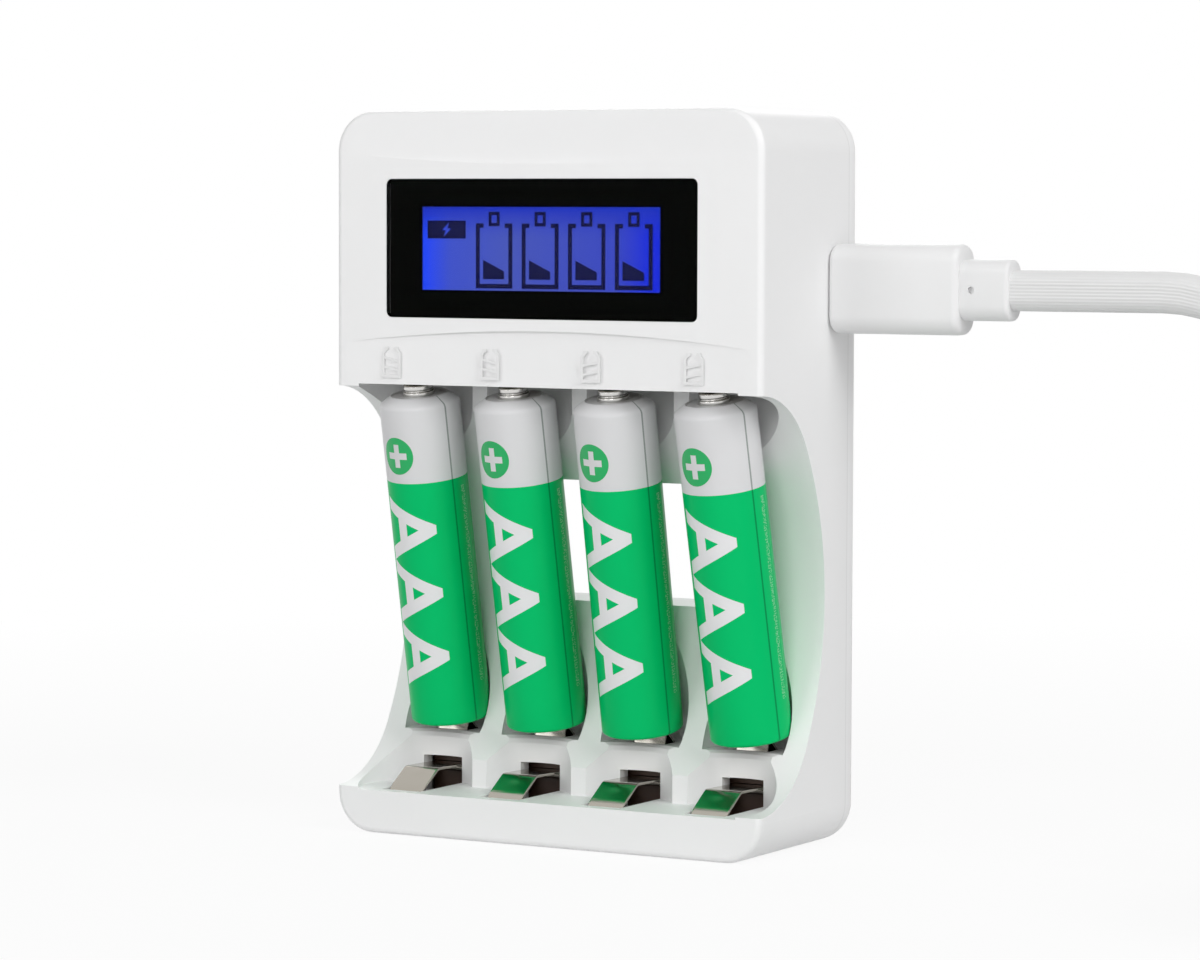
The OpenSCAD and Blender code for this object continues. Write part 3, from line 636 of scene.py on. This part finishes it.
def spring_strip(name, root, fold, tip, width, foot, dimple):
    path = strip_path(root, fold, tip, foot)
    verts = [(-width / 2, front_y + point.x, point.y) for point in path]
    strip = drawn_band(name, verts, Vector((width, 0, 0)), 24)
    mesh = strip.data
    flap = (tip - fold).normalized()
    across = Vector((flap.y, -flap.x))
    outward = Vector((0, *across))
    tip_place = Vector((0, front_y + tip.x, tip.y))
    front = min(mesh.polygons, key=lambda face: (face.center - tip_place).length)
    if front.normal.dot(outward) < 0:
        bpy.ops.object.mode_set(mode="EDIT")
        bpy.ops.mesh.flip_normals()
        bpy.ops.object.mode_set(mode="OBJECT")
    for vertex in mesh.vertices:
        from_fold = Vector((vertex.co.y - front_y, vertex.co.z)) - fold
        along = from_fold.dot(flap)
        if along > -dimple_reach and abs(from_fold.dot(across)) < dimple_reach:
            spread = (vertex.co.x / dimple_w) ** 2 + ((along - dimple_down) / dimple_h) ** 2
            vertex.co += outward * dimple * math.exp(-spread)
    apply_modifier(strip, "SOLIDIFY", thickness=strip_t, offset=-1)
    soften_edges(strip, 0.05 * mm, 2)
    smooth(strip, 40)
    return strip


def placed_copy(source, name, matrix):
    return settle(new_piece(name, source.data.copy()), matrix)


contact_nickel = grained("contact_nickel", (0.43, 0.405, 0.355), 0.13, 300, 0.1, 0.03, metallic=1.0)
# The strips on the shelf take a darker copy of the same nickel: painted shade that dims them among the cells.
shelf_nickel_shaded = grained("shelf_nickel_shaded", (0.36, 0.345, 0.31), 0.17, 300, 0.1, 0.03, metallic=1.0)
aa_strip = spring_strip(
    "aa_strip", aa_root, aa_fold, aa_tip, width=5 * mm, foot=1.25 * mm, dimple=0.09 * mm,
)
aaa_strip = spring_strip(
    "aaa_strip", aaa_root, aaa_fold, aaa_tip, width=4.4 * mm, foot=0, dimple=0.06 * mm,
)
kinds = (("aa_contact", aa_strip, contact_nickel), ("aaa_contact", aaa_strip, shelf_nickel_shaded))
for i in range(4):
    bay = Matrix.Translation(((i - 1.5) * pitch, 0, 0))
    for kind, pattern, finish in kinds:
        node = "%s_%d" % (kind, i + 1)
        strip = placed_copy(pattern, node + "_strip", bay)
        paint(strip, finish)
        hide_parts(node)
        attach(strip, node)
    paint(nodes["positive_contact_%d" % (i + 1)], contact_nickel)
for pattern in (aa_strip, aaa_strip):
    bpy.data.objects.remove(pattern)

# The cells: steel cans with a grooved button, in a shrunk and printed plastic sleeve. The sleeve is white
# at the button's end and green below, and its overlap is a seam along the cell.
cell_r = 5.15 * mm
cell_body = 43 * mm
cell_foot = Vector((0, front_y + 13 * mm, 13.9405 * mm))
cell_lean = math.radians(10.5)
cell_shift = (0.6, 0.3, -0.3, 0.6)
cell_tilt = (0.2, 0.5, 0, 1.8)
sleeve_t = 0.15 * mm
can_r = cell_r - sleeve_t
shoulder_r = 0.7 * mm
button_r = 1.9 * mm
button_top = 44 * mm
seam_angle = math.radians(70)


def cell_place(i):
    foot = cell_foot + Vector(((i - 1.5) * pitch + cell_shift[i] * mm, 0, 0))
    turn = Matrix.Rotation(-math.radians(cell_tilt[i]), 4, "Y") @ Matrix.Rotation(cell_lean, 4, "X")
    return Matrix.Translation(foot) @ turn


def arc(x, z, r, start, stop, steps):
    angles = [math.radians(start + (stop - start) * k / steps) for k in range(steps + 1)]
    return [(x + r * math.cos(a), z + r * math.sin(a)) for a in angles]


def turned(name, profile, steps, closed=False):
    edges = chain(len(profile))
    if closed:
        edges.append((len(profile) - 1, 0))
    piece = edited_mesh(name, [(0, -x, z) for x, z in profile], edges, [])
    bpy.ops.mesh.spin(steps=steps, angle=2 * math.pi, center=(0, 0, 0), axis=(0, 0, 1))
    bpy.ops.mesh.select_all(action="SELECT")
    bpy.ops.mesh.remove_doubles(threshold=0.0005 * mm)
    close_edit()
    return piece


can_top = cell_body - 0.6 * mm
disc_r = 3.2 * mm
foot_sink = 0.25 * mm
foot_r = 0.4 * mm
can_profile = [(0, foot_sink), (3.6 * mm, foot_sink), (3.8 * mm, 0)]
can_profile += arc(can_r - foot_r, foot_r, foot_r, -90, 0, 5)
can_profile += arc(can_r - shoulder_r, can_top - 1.1 * mm - shoulder_r, shoulder_r, 0, 50, 6)
can_profile += [(disc_r, can_top), (button_r + 0.1 * mm, can_top)]
can_profile += arc(button_r - 0.05 * mm, can_top + 0.55 * mm, 0.15 * mm, 0, 90, 4)
can_profile += arc(button_r - 0.02 * mm, can_top + 0.81 * mm, 0.11 * mm, 270, 90, 6)
can_profile += arc(button_r - 0.1 * mm, can_top + 1.02 * mm, 0.1 * mm, -90, 0, 4)
can_profile += arc(button_r - 0.25 * mm, button_top - 0.25 * mm, 0.25 * mm, 0, 90, 5)
can_profile += [(0, button_top)]
can = turned("cell_can", can_profile, 64)
smooth(can)

lip_r = 3.5 * mm
disc_z = cell_body - 0.45 * mm
side_top = cell_body - 1.75 * mm
side_low = 0.48 * mm
side_steps = 24
curl_r = 0.45 * mm
neck_r = 0.8 * mm
hole_r = button_r + 0.15 * mm
disc_under = can_top + 0.02 * mm
inner_r = can_r + 0.01 * mm
sleeve_profile = [(can_r - 0.9 * mm, 0.03 * mm)]
sleeve_profile += arc(cell_r - curl_r, side_low, curl_r, -90, 0, 6)
for k in range(1, side_steps):
    sleeve_profile.append((cell_r, side_low + (side_top - side_low) * k / side_steps))
sleeve_profile += arc(cell_r - neck_r, side_top, neck_r, 0, 52, 6)
sleeve_profile += arc(lip_r + 0.1 * mm, disc_z, 0.14 * mm, 60, 150, 5)
sleeve_profile += [(lip_r - 0.1 * mm, disc_z), (hole_r, disc_z)]
sleeve_profile += [(hole_r, disc_under), (disc_r, disc_under)]
sleeve_profile += [(inner_r, side_top - 0.1 * mm), (inner_r, 0.5 * mm), (can_r - 0.85 * mm, 0.12 * mm)]
sleeve = turned("cell_sleeve", sleeve_profile, 96, closed=True)
lap_height = 0.05 * mm
lap_width = math.radians(34)
for vertex in sleeve.data.vertices:
    r = math.hypot(vertex.co.x, vertex.co.y)
    angle = math.atan2(vertex.co.x, -vertex.co.y)
    on_lap = seam_angle < angle < seam_angle + lap_width
    outside = r > can_r + 0.05 * mm or vertex.co.z > side_top
    if on_lap and outside and r > lip_r + 0.3 * mm and vertex.co.z > 0.4 * mm:
        vertex.co.x *= (r + lap_height) / r
        vertex.co.y *= (r + lap_height) / r
wrap = sleeve.data.uv_layers.new(name="wrap")
for face in sleeve.data.polygons:
    turns = []
    for loop in face.loop_indices:
        co = sleeve.data.vertices[sleeve.data.loops[loop].vertex_index].co
        turns.append(math.atan2(co.x, -co.y) / (2 * math.pi) + 0.5)
    for loop, turn in zip(face.loop_indices, turns):
        co = sleeve.data.vertices[sleeve.data.loops[loop].vertex_index].co
        if max(turns) - min(turns) > 0.5 and turn < 0.5:
            turn += 1
        wrap.data[loop].uv = (turn, co.z / cell_body)
smooth(sleeve)

cell_steel = grained("cell_steel", (0.68, 0.67, 0.65), 0.2, 400, 0.15, 0.04, metallic=1.0)
white_from = 0.745
print_green, print_white = (0.001, 0.52, 0.148), (0.7, 0.7, 0.71)
seam_green, speck_green = (0.002, 0.06, 0.02), (0.5, 0.7, 0.55)
seam_half, seam_share = 0.0035, 0.55
speck_from, speck_share = 0.52, 0.4
row_off, row_half = 0.055, 0.012
span_middle, span_half = 0.42, 0.3
sleeve_print, tree = new_tree("sleeve_print")
shader = tree.nodes.new("ShaderNodeBsdfPrincipled")
shader.inputs["Roughness"].default_value = 0.3
shader.inputs["Specular IOR Level"].default_value = 0.06
wrap_at = tree.nodes.new("ShaderNodeUVMap")
wrap_at.uv_map = "wrap"
parts = tree.nodes.new("ShaderNodeSeparateXYZ")
tree.links.new(wrap_at.outputs[0], parts.inputs[0])

is_white = calculate(tree, "GREATER_THAN", parts.outputs["Y"], white_from)
ink = mixed(tree, is_white, print_green, print_white)
seam_turn = seam_angle / (2 * math.pi) + 0.5
seam = calculate(tree, "COMPARE", parts.outputs["X"], seam_turn, seam_half)
ink = mixed(tree, calculate(tree, "MULTIPLY", seam, seam_share), ink, seam_green)
small_print = tree.nodes.new("ShaderNodeTexNoise")
small_print.inputs["Scale"].default_value = 1
small_print.inputs["Detail"].default_value = 1
stretch = tree.nodes.new("ShaderNodeMapping")
stretch.inputs["Scale"].default_value = (90, 260, 1)
tree.links.new(wrap_at.outputs[0], stretch.inputs["Vector"])
tree.links.new(stretch.outputs[0], small_print.inputs["Vector"])
speck = calculate(tree, "GREATER_THAN", small_print.outputs["Fac"], speck_from)
row = calculate(tree, "COMPARE", parts.outputs["X"], seam_turn + row_off, row_half)
span = calculate(tree, "COMPARE", parts.outputs["Y"], span_middle, span_half)
print_mask = calculate(tree, "MULTIPLY", calculate(tree, "MULTIPLY", speck, row), span)
ink = mixed(tree, calculate(tree, "MULTIPLY", print_mask, speck_share), ink, speck_green)
tree.links.new(ink, shader.inputs["Base Color"])
wrinkle_scale = 260
emboss(tree, shader, object_noise(tree, wrinkle_scale), 0.06, 0.1 * mm)
put_out(tree, shader)

for i in range(4):
    body = placed_copy(can, "cell_can_%d_turned" % (i + 1), cell_place(i))
    paint(body, cell_steel)
    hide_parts("cell_can_%d" % (i + 1))
    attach(body, "charger")
    wrapper = placed_copy(sleeve, "cell_sleeve_%d_printed" % (i + 1), cell_place(i))
    paint(wrapper, sleeve_print)
    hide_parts("cell_sleeve_%d" % (i + 1))
    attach(wrapper, "charger")

# The print on the sleeves: wide white letters that give the cell's size, running down the green part,
# and a round green sign for the positive end on the white part. Both are ink that follows the sleeve.
ink_t = 0.02 * mm
letters_high = 7.4 * mm
letters_long = 25 * mm
letters_from_top = 12.9 * mm
letters_angle = math.radians(-3)
mark_r = 2.4 * mm
mark_z = 35.6 * mm
mark_angle = math.radians(-11)
mark_steps = 48
ink_gap = 0.006 * mm


def wrapped(piece, angle, height):
    select_only(piece)
    bpy.ops.object.mode_set(mode="EDIT")
    low = min(v.co.x for v in piece.data.vertices)
    high = max(v.co.x for v in piece.data.vertices)
    slices = 16
    for k in range(1, slices):
        bpy.ops.mesh.select_all(action="SELECT")
        bpy.ops.mesh.bisect(plane_co=(low + (high - low) * k / slices, 0, 0), plane_no=(1, 0, 0))
    bpy.ops.object.mode_set(mode="OBJECT")
    for vertex in piece.data.vertices:
        turn = angle + vertex.co.x / cell_r
        r = cell_r + ink_gap + vertex.co.z
        vertex.co = (r * math.sin(turn), -r * math.cos(turn), height + vertex.co.y)
    smooth(piece)


bpy.ops.object.select_all(action="DESELECT")
bpy.ops.object.text_add()
letters = bpy.context.object
letters.data.body = "AAA"
letters.data.size = 10
letters.data.offset = 0.22
letters.data.space_character = 1.12
letters.data.extrude = ink_t / mm / 2
bpy.ops.object.convert(target="MESH")
letters = settle(bpy.context.object, Matrix.Scale(mm, 4))
corners = [Vector(c) for c in letters.bound_box]
low = Vector((min(c.x for c in corners), min(c.y for c in corners), 0))
high = Vector((max(c.x for c in corners), max(c.y for c in corners), 0))
scale = Matrix.Diagonal((letters_long / (high.x - low.x), letters_high / (high.y - low.y), 1, 1))
downward = Matrix.Rotation(-math.pi / 2, 4, "Z")
settle(letters, downward @ scale @ Matrix.Translation(-(low + high) / 2))
wrapped(letters, letters_angle, cell_body - letters_from_top - letters_long / 2)

mark_turns = [2 * math.pi * k / mark_steps for k in range(mark_steps)]
ring = [(mark_r * math.cos(a), mark_r * math.sin(a)) for a in mark_turns]
arm, bar = 1.5 * mm, 0.42 * mm
plus = [(arm, bar), (bar, bar), (bar, arm), (-bar, arm), (-bar, bar), (-arm, bar),
        (-arm, -bar), (-bar, -bar), (-bar, -arm), (bar, -arm), (bar, -bar), (arm, -bar)]
mark = flat_shape("positive_sign", [ring, plus], ink_t)
wrapped(mark, mark_angle, mark_z)

letter_white = grained("letter_white", (0.78, 0.78, 0.79), 0.32, 500, 0.03, 0.02)
mark_green = grained("mark_green", (0.0025, 0.4, 0.105), 0.32, 500, 0.05, 0.02)
for i in range(4):
    lettering = placed_copy(letters, "cell_letters_%d" % (i + 1), cell_place(i))
    paint(lettering, letter_white)
    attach(lettering, "charger")
    sign = placed_copy(mark, "cell_sign_%d" % (i + 1), cell_place(i))
    paint(sign, mark_green)
    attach(sign, "charger")
for pattern in (can, sleeve, letters, mark):
    bpy.data.objects.remove(pattern)

# The plug in the charger's right side: an overmoulded grip with a thinner collar behind it, in soft white
# plastic, and a small moulding dot in the collar.
plug_y = front_y + 19.9 * mm
plug_z = 69.6 * mm
side_x = 30.5 * mm
grip_len = 17.6 * mm
collar_len = 6.4 * mm


def plug_block(name, start, stop, y, z, thickness, height, corner, end_round):
    bpy.ops.object.select_all(action="DESELECT")
    bpy.ops.mesh.primitive_cube_add(size=1)
    block = bpy.context.object
    block.name = name
    middle = Vector(((start + stop) / 2, y, z))
    settle(block, Matrix.Translation(middle) @ Matrix.Diagonal((stop - start, thickness, height, 1)))
    bpy.ops.object.mode_set(mode="EDIT")
    bpy.ops.mesh.select_mode(type="EDGE")
    mesh = bmesh.from_edit_mesh(block.data)
    for edge in mesh.edges:
        along = edge.verts[0].co - edge.verts[1].co
        edge.select_set(abs(along.x) > 0.5 * (stop - start))
    bmesh.update_edit_mesh(block.data)
    bpy.ops.mesh.bevel(offset=corner, segments=10, affect="EDGES", clamp_overlap=False)
    mesh = bmesh.from_edit_mesh(block.data)
    bpy.ops.mesh.select_all(action="DESELECT")
    for edge in mesh.edges:
        ends = [v.co.x for v in edge.verts]
        edge.select_set(any(abs(ends[0] - x) + abs(ends[1] - x) < 0.001 * mm for x in (start, stop)))
    bmesh.update_edit_mesh(block.data)
    bpy.ops.mesh.bevel(offset=end_round, segments=5, affect="EDGES", clamp_overlap=True)
    bpy.ops.object.mode_set(mode="OBJECT")
    smooth(block, 40)
    return block


def cut_out(piece, cutter):
    apply_modifier(piece, "BOOLEAN", object=cutter, operation="DIFFERENCE", solver="EXACT")
    bpy.data.objects.remove(cutter)


plug_white = grained("plug_white", (0.79, 0.79, 0.792), 0.45, 1600, 0.02, 0.06)
grip_end = side_x + grip_len
collar_end = grip_end + collar_len
grip = plug_block(
    "plug_grip_moulded", side_x, grip_end, plug_y, plug_z,
    thickness=5.7 * mm, height=11.1 * mm, corner=2.2 * mm, end_round=0.9 * mm,
)
paint(grip, plug_white)
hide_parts("usb_plug_grip")
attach(grip, "charger")
collar_start = grip_end - 0.3 * mm
collar = plug_block(
    "cord_collar_moulded", collar_start, collar_end, plug_y, plug_z,
    thickness=4.4 * mm, height=7.5 * mm, corner=1.8 * mm, end_round=0.5 * mm,
)
bpy.ops.object.select_all(action="DESELECT")
bpy.ops.mesh.primitive_cylinder_add(vertices=24, radius=0.45 * mm, depth=1.2 * mm)
dot = bpy.context.object
settle(dot, facing_front((grip_end + 1.6 * mm, plug_y - 2.2 * mm, plug_z)))
cut_out(collar, dot)
smooth(collar, 40)
paint(collar, plug_white)
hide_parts("cord_collar")
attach(collar, "charger")

# The lead: a flattened cord with a finely ribbed jacket, straight out of the collar, down to the table and
# wound there into a coil with a strap round it and a plug at its far end.
cord_h, cord_t = 5 * mm, 3.4 * mm
lead_out = 19.5 * mm
bend_r = 20 * mm
drop_angle = math.radians(88)
cord_lift = 2.6 * mm
lay_in = 7 * mm
bend_x = collar_end + lead_out
drop_h = plug_z - cord_lift - 2 * bend_r * (1 - math.cos(drop_angle))
drop_x = drop_h / math.tan(drop_angle)
land_x = bend_x + 2 * bend_r * math.sin(drop_angle) + drop_x
coil_r = 25 * mm
coil_pitch = 5.1 * mm
coil_turns = 2.75
coil_x = land_x + lay_in
coil_y = plug_y - coil_r
coil_h = cord_lift + coil_pitch * (coil_turns - 0.5) + cord_h / 2 + 0.1 * mm
coil_end_z = cord_lift + coil_pitch * coil_turns
tail_r = 20 * mm
tail_x = coil_x - (coil_r - tail_r)
tail_y = coil_y + tail_r
far_plug_x = tail_x + 2 * mm
far_plug_h = 8 * mm
far_plug_z = coil_h + 0.1 * mm + far_plug_h / 2
rib_count = 34
rib_depth = 0.05 * mm


def cord_route():
    points = [Vector((collar_end + lead_out * k / 4, plug_y, plug_z)) for k in range(5)]
    bend_steps = 12
    bends = [drop_angle * k / bend_steps for k in range(1, bend_steps + 1)]
    for a in bends:
        points.append(Vector((bend_x + bend_r * math.sin(a), plug_y, plug_z - bend_r * (1 - math.cos(a)))))
    top = points[-1].copy()
    points += [top + Vector((drop_x, 0, -drop_h)) * k / 3 for k in (1, 2, 3)]
    for a in bends[-2::-1] + [0]:
        points.append(Vector((land_x - bend_r * math.sin(a), plug_y, cord_lift + bend_r * (1 - math.cos(a)))))
    points.append(Vector((coil_x, plug_y, cord_lift)))
    per_turn = 48
    for k in range(1, int(coil_turns * per_turn) + 1):
        turn = k / per_turn
        a = math.pi / 2 - 2 * math.pi * turn
        x, y = coil_x + coil_r * math.cos(a), coil_y + coil_r * math.sin(a)
        points.append(Vector((x, y, cord_lift + coil_pitch * turn)))
    for a in (math.pi / 2 * k / bend_steps for k in range(1, bend_steps + 1)):
        rise = (far_plug_z - coil_end_z) * (1 - math.cos(2 * a)) / 2
        x, y = tail_x - tail_r * math.cos(a), coil_y + tail_r * math.sin(a)
        points.append(Vector((x, y, coil_end_z + rise)))
    points.append(Vector((far_plug_x, tail_y, far_plug_z)))
    return points


def ribbed_section(steps, depth):
    flat = (cord_h - cord_t) / 2
    r = cord_t / 2
    length = 4 * flat + 2 * math.pi * r
    section = []
    for k in range(steps):
        s = length * k / steps
        groove = depth * (0.5 - 0.5 * math.cos(2 * math.pi * rib_count * k / steps))
        if s < 2 * flat:
            section.append((r - groove, s - flat))
        elif s < 2 * flat + math.pi * r:
            a = (s - 2 * flat) / r
            section.append(((r - groove) * math.cos(a), flat + (r - groove) * math.sin(a)))
        elif s < 4 * flat + math.pi * r:
            section.append((groove - r, flat - (s - 2 * flat - math.pi * r)))
        else:
            a = math.pi + (s - 4 * flat - math.pi * r) / r
            section.append(((r - groove) * math.cos(a), -flat + (r - groove) * math.sin(a)))
    return section


def swept_jacket(name, points, section, sizes=None):
    verts, faces = [], []
    for k, point in enumerate(points):
        heading = (points[min(k + 1, len(points) - 1)] - points[max(k - 1, 0)]).normalized()
        side = Vector((-heading.y, heading.x, 0)).normalized()
        upward = heading.cross(side)
        size = sizes[k] if sizes else 1
        verts += [point + (side * u + upward * v) * size for u, v in section]
    count = len(section)
    for k in range(len(points) - 1):
        for j in range(count):
            a, b = k * count + j, k * count + (j + 1) % count
            faces.append((a, b, b + count, a + count))
    faces.append(tuple(range(count - 1, -1, -1)))
    faces.append(tuple(range(len(verts) - count, len(verts))))
    piece = edited_mesh(name, verts, [], faces)
    close_edit()
    smooth(piece, 60)
    return piece


cord_points = cord_route()
cord = swept_jacket("usb_lead", cord_points, ribbed_section(4 * rib_count, rib_depth))
cord_white = grained("cord_white", (0.74, 0.74, 0.74), 0.5, 900, 0.04, 0.05)
paint(cord, cord_white)
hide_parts("usb_cord", "usb_cord_coil", "usb_cord_tail")
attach(cord, "charger")

# The strap round the coil: a woven black band that is laid over the turns and tucked in under them,
# so only its top and its two sides show.
strap_w, strap_t = 8 * mm, 0.8 * mm
strap_half = cord_t / 2 + 0.5 * mm + strap_t / 2
strap_top = coil_h + strap_t / 2
strap_reach = 0.9 * mm
left_corner, right_corner = Vector((-strap_half, strap_top)), Vector((strap_half, strap_top))
along, upwards = Vector((1, 0)), Vector((0, 1))
strap_path = [Vector((-strap_half, 0))]
strap_path += rounded_turn(left_corner, upwards, along, strap_reach)
strap_path += rounded_turn(right_corner, along, -upwards, strap_reach) + [Vector((strap_half, 0))]
strap_verts = [(coil_x + coil_r + point.x, coil_y - strap_w / 2, point.y) for point in strap_path]
strap = drawn_band("coil_strap", strap_verts, Vector((0, strap_w, 0)), 6)
apply_modifier(strap, "SOLIDIFY", thickness=strap_t, offset=0)
soften_edges(strap, 0.2 * mm, 3)
smooth(strap, 40)

strap_weave, tree = new_tree("strap_weave")
shader = tree.nodes.new("ShaderNodeBsdfPrincipled")
shader.inputs["Specular IOR Level"].default_value = 0.2
axes = object_axes(tree)
thread = 2 * math.pi / (0.7 * mm)
low_black, high_black = (0.008, 0.008, 0.009), (0.035, 0.035, 0.037)
lengthways = calculate(tree, "ADD", axes["X"], axes["Z"])
warp = calculate(tree, "SINE", calculate(tree, "MULTIPLY", lengthways, thread))
weft = calculate(tree, "SINE", calculate(tree, "MULTIPLY", axes["Y"], thread))
weave = calculate(tree, "MULTIPLY_ADD", calculate(tree, "MULTIPLY", warp, weft), 0.5, 0.5)
tree.links.new(mixed(tree, weave, low_black, high_black), shader.inputs["Base Color"])
tree.links.new(calculate(tree, "MULTIPLY_ADD", weave, 0.2, 0.65), shader.inputs["Roughness"])
emboss(tree, shader, weave, 0.6, 0.1 * mm)
put_out(tree, shader)
paint(strap, strap_weave)
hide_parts("cord_tie")
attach(strap, "charger")

# The plug at the lead's far end: a white grip moulded over the cord, with a ridged boot and a thumb rest
# sunk in its flat sides, and a folded steel shell with two latch windows and the contact tongue inside.
boot_len, far_grip_len, far_grip_w = 6 * mm, 24 * mm, 16 * mm
far_shell_len, far_shell_w, far_shell_h = 12 * mm, 12 * mm, 4.5 * mm
boot_steps = 24
boot_points, boot_sizes = [], []
for k in range(boot_steps + 1):
    boot_x = far_plug_x + (boot_len + 0.3 * mm) * k / boot_steps
    boot_points.append(Vector((boot_x, tail_y, far_plug_z)))
    boot_sizes.append(1.1 + 0.01 * k - (0.1 if k % 6 in (4, 5) else 0))
boot = swept_jacket("boot", boot_points, ribbed_section(48, 0), boot_sizes)
far_grip_x = far_plug_x + boot_len
far_shell_x = far_grip_x + far_grip_len
far_grip = plug_block(
    "far_grip_moulded", far_grip_x, far_shell_x, tail_y, far_plug_z,
    thickness=far_grip_w, height=far_plug_h, corner=2 * mm, end_round=0.9 * mm,
)


def edit_faces(piece, axis, least_area, both_sides):
    select_only(piece)
    bpy.ops.object.mode_set(mode="EDIT")
    bpy.ops.mesh.select_mode(type="FACE")
    bpy.ops.mesh.select_all(action="DESELECT")
    mesh = bmesh.from_edit_mesh(piece.data)
    for face in mesh.faces:
        facing = face.normal[axis]
        if both_sides:
            facing = abs(facing)
        face.select_set(facing > 0.99 and face.calc_area() > least_area)
    bmesh.update_edit_mesh(piece.data)


edit_faces(far_grip, 2, 50 * mm * mm, both_sides=True)
bpy.ops.mesh.inset(thickness=2.2 * mm, use_individual=True)
bpy.ops.mesh.inset(thickness=0.5 * mm, depth=-0.35 * mm, use_individual=True)
bpy.ops.object.mode_set(mode="OBJECT")
smooth(far_grip, 40)
bpy.ops.object.select_all(action="DESELECT")
boot.select_set(True)
far_grip.select_set(True)
bpy.context.view_layer.objects.active = far_grip
bpy.ops.object.join()
paint(far_grip, plug_white)
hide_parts("usb_a_grip")
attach(far_grip, "charger")

far_end_x = far_shell_x + far_shell_len
shell_opening = 10 * mm
far_shell = plug_block(
    "far_shell_folded", far_shell_x - 0.2 * mm, far_end_x, tail_y, far_plug_z,
    thickness=far_shell_w, height=far_shell_h, corner=0.5 * mm, end_round=0.1 * mm,
)
edit_faces(far_shell, 0, 20 * mm * mm, both_sides=False)
bpy.ops.mesh.inset(thickness=0.25 * mm)
bpy.ops.mesh.extrude_region_move(TRANSFORM_OT_translate={"value": (-shell_opening, 0, 0)})
bpy.ops.object.mode_set(mode="OBJECT")
for side in (-1, 1):
    bpy.ops.object.select_all(action="DESELECT")
    bpy.ops.mesh.primitive_cube_add(size=1)
    window = bpy.context.object
    middle = Vector((far_shell_x + 6.2 * mm, tail_y + side * 2.9 * mm, far_plug_z))
    settle(window, Matrix.Translation(middle) @ Matrix.Diagonal((2.2 * mm, 2.4 * mm, 8 * mm, 1)))
    cut_out(far_shell, window)
smooth(far_shell, 40)
paint(far_shell, plated_steel)
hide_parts("usb_a_shell")
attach(far_shell, "charger")

tongue_start, tongue_z = far_end_x - 10.2 * mm, far_plug_z - 0.85 * mm
tongue = plug_block(
    "far_tongue", tongue_start, far_end_x - 0.7 * mm, tail_y, tongue_z,
    thickness=10.8 * mm, height=1.7 * mm, corner=0.2 * mm, end_round=0.1 * mm,
)
paint(tongue, plug_white)
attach(tongue, "charger")
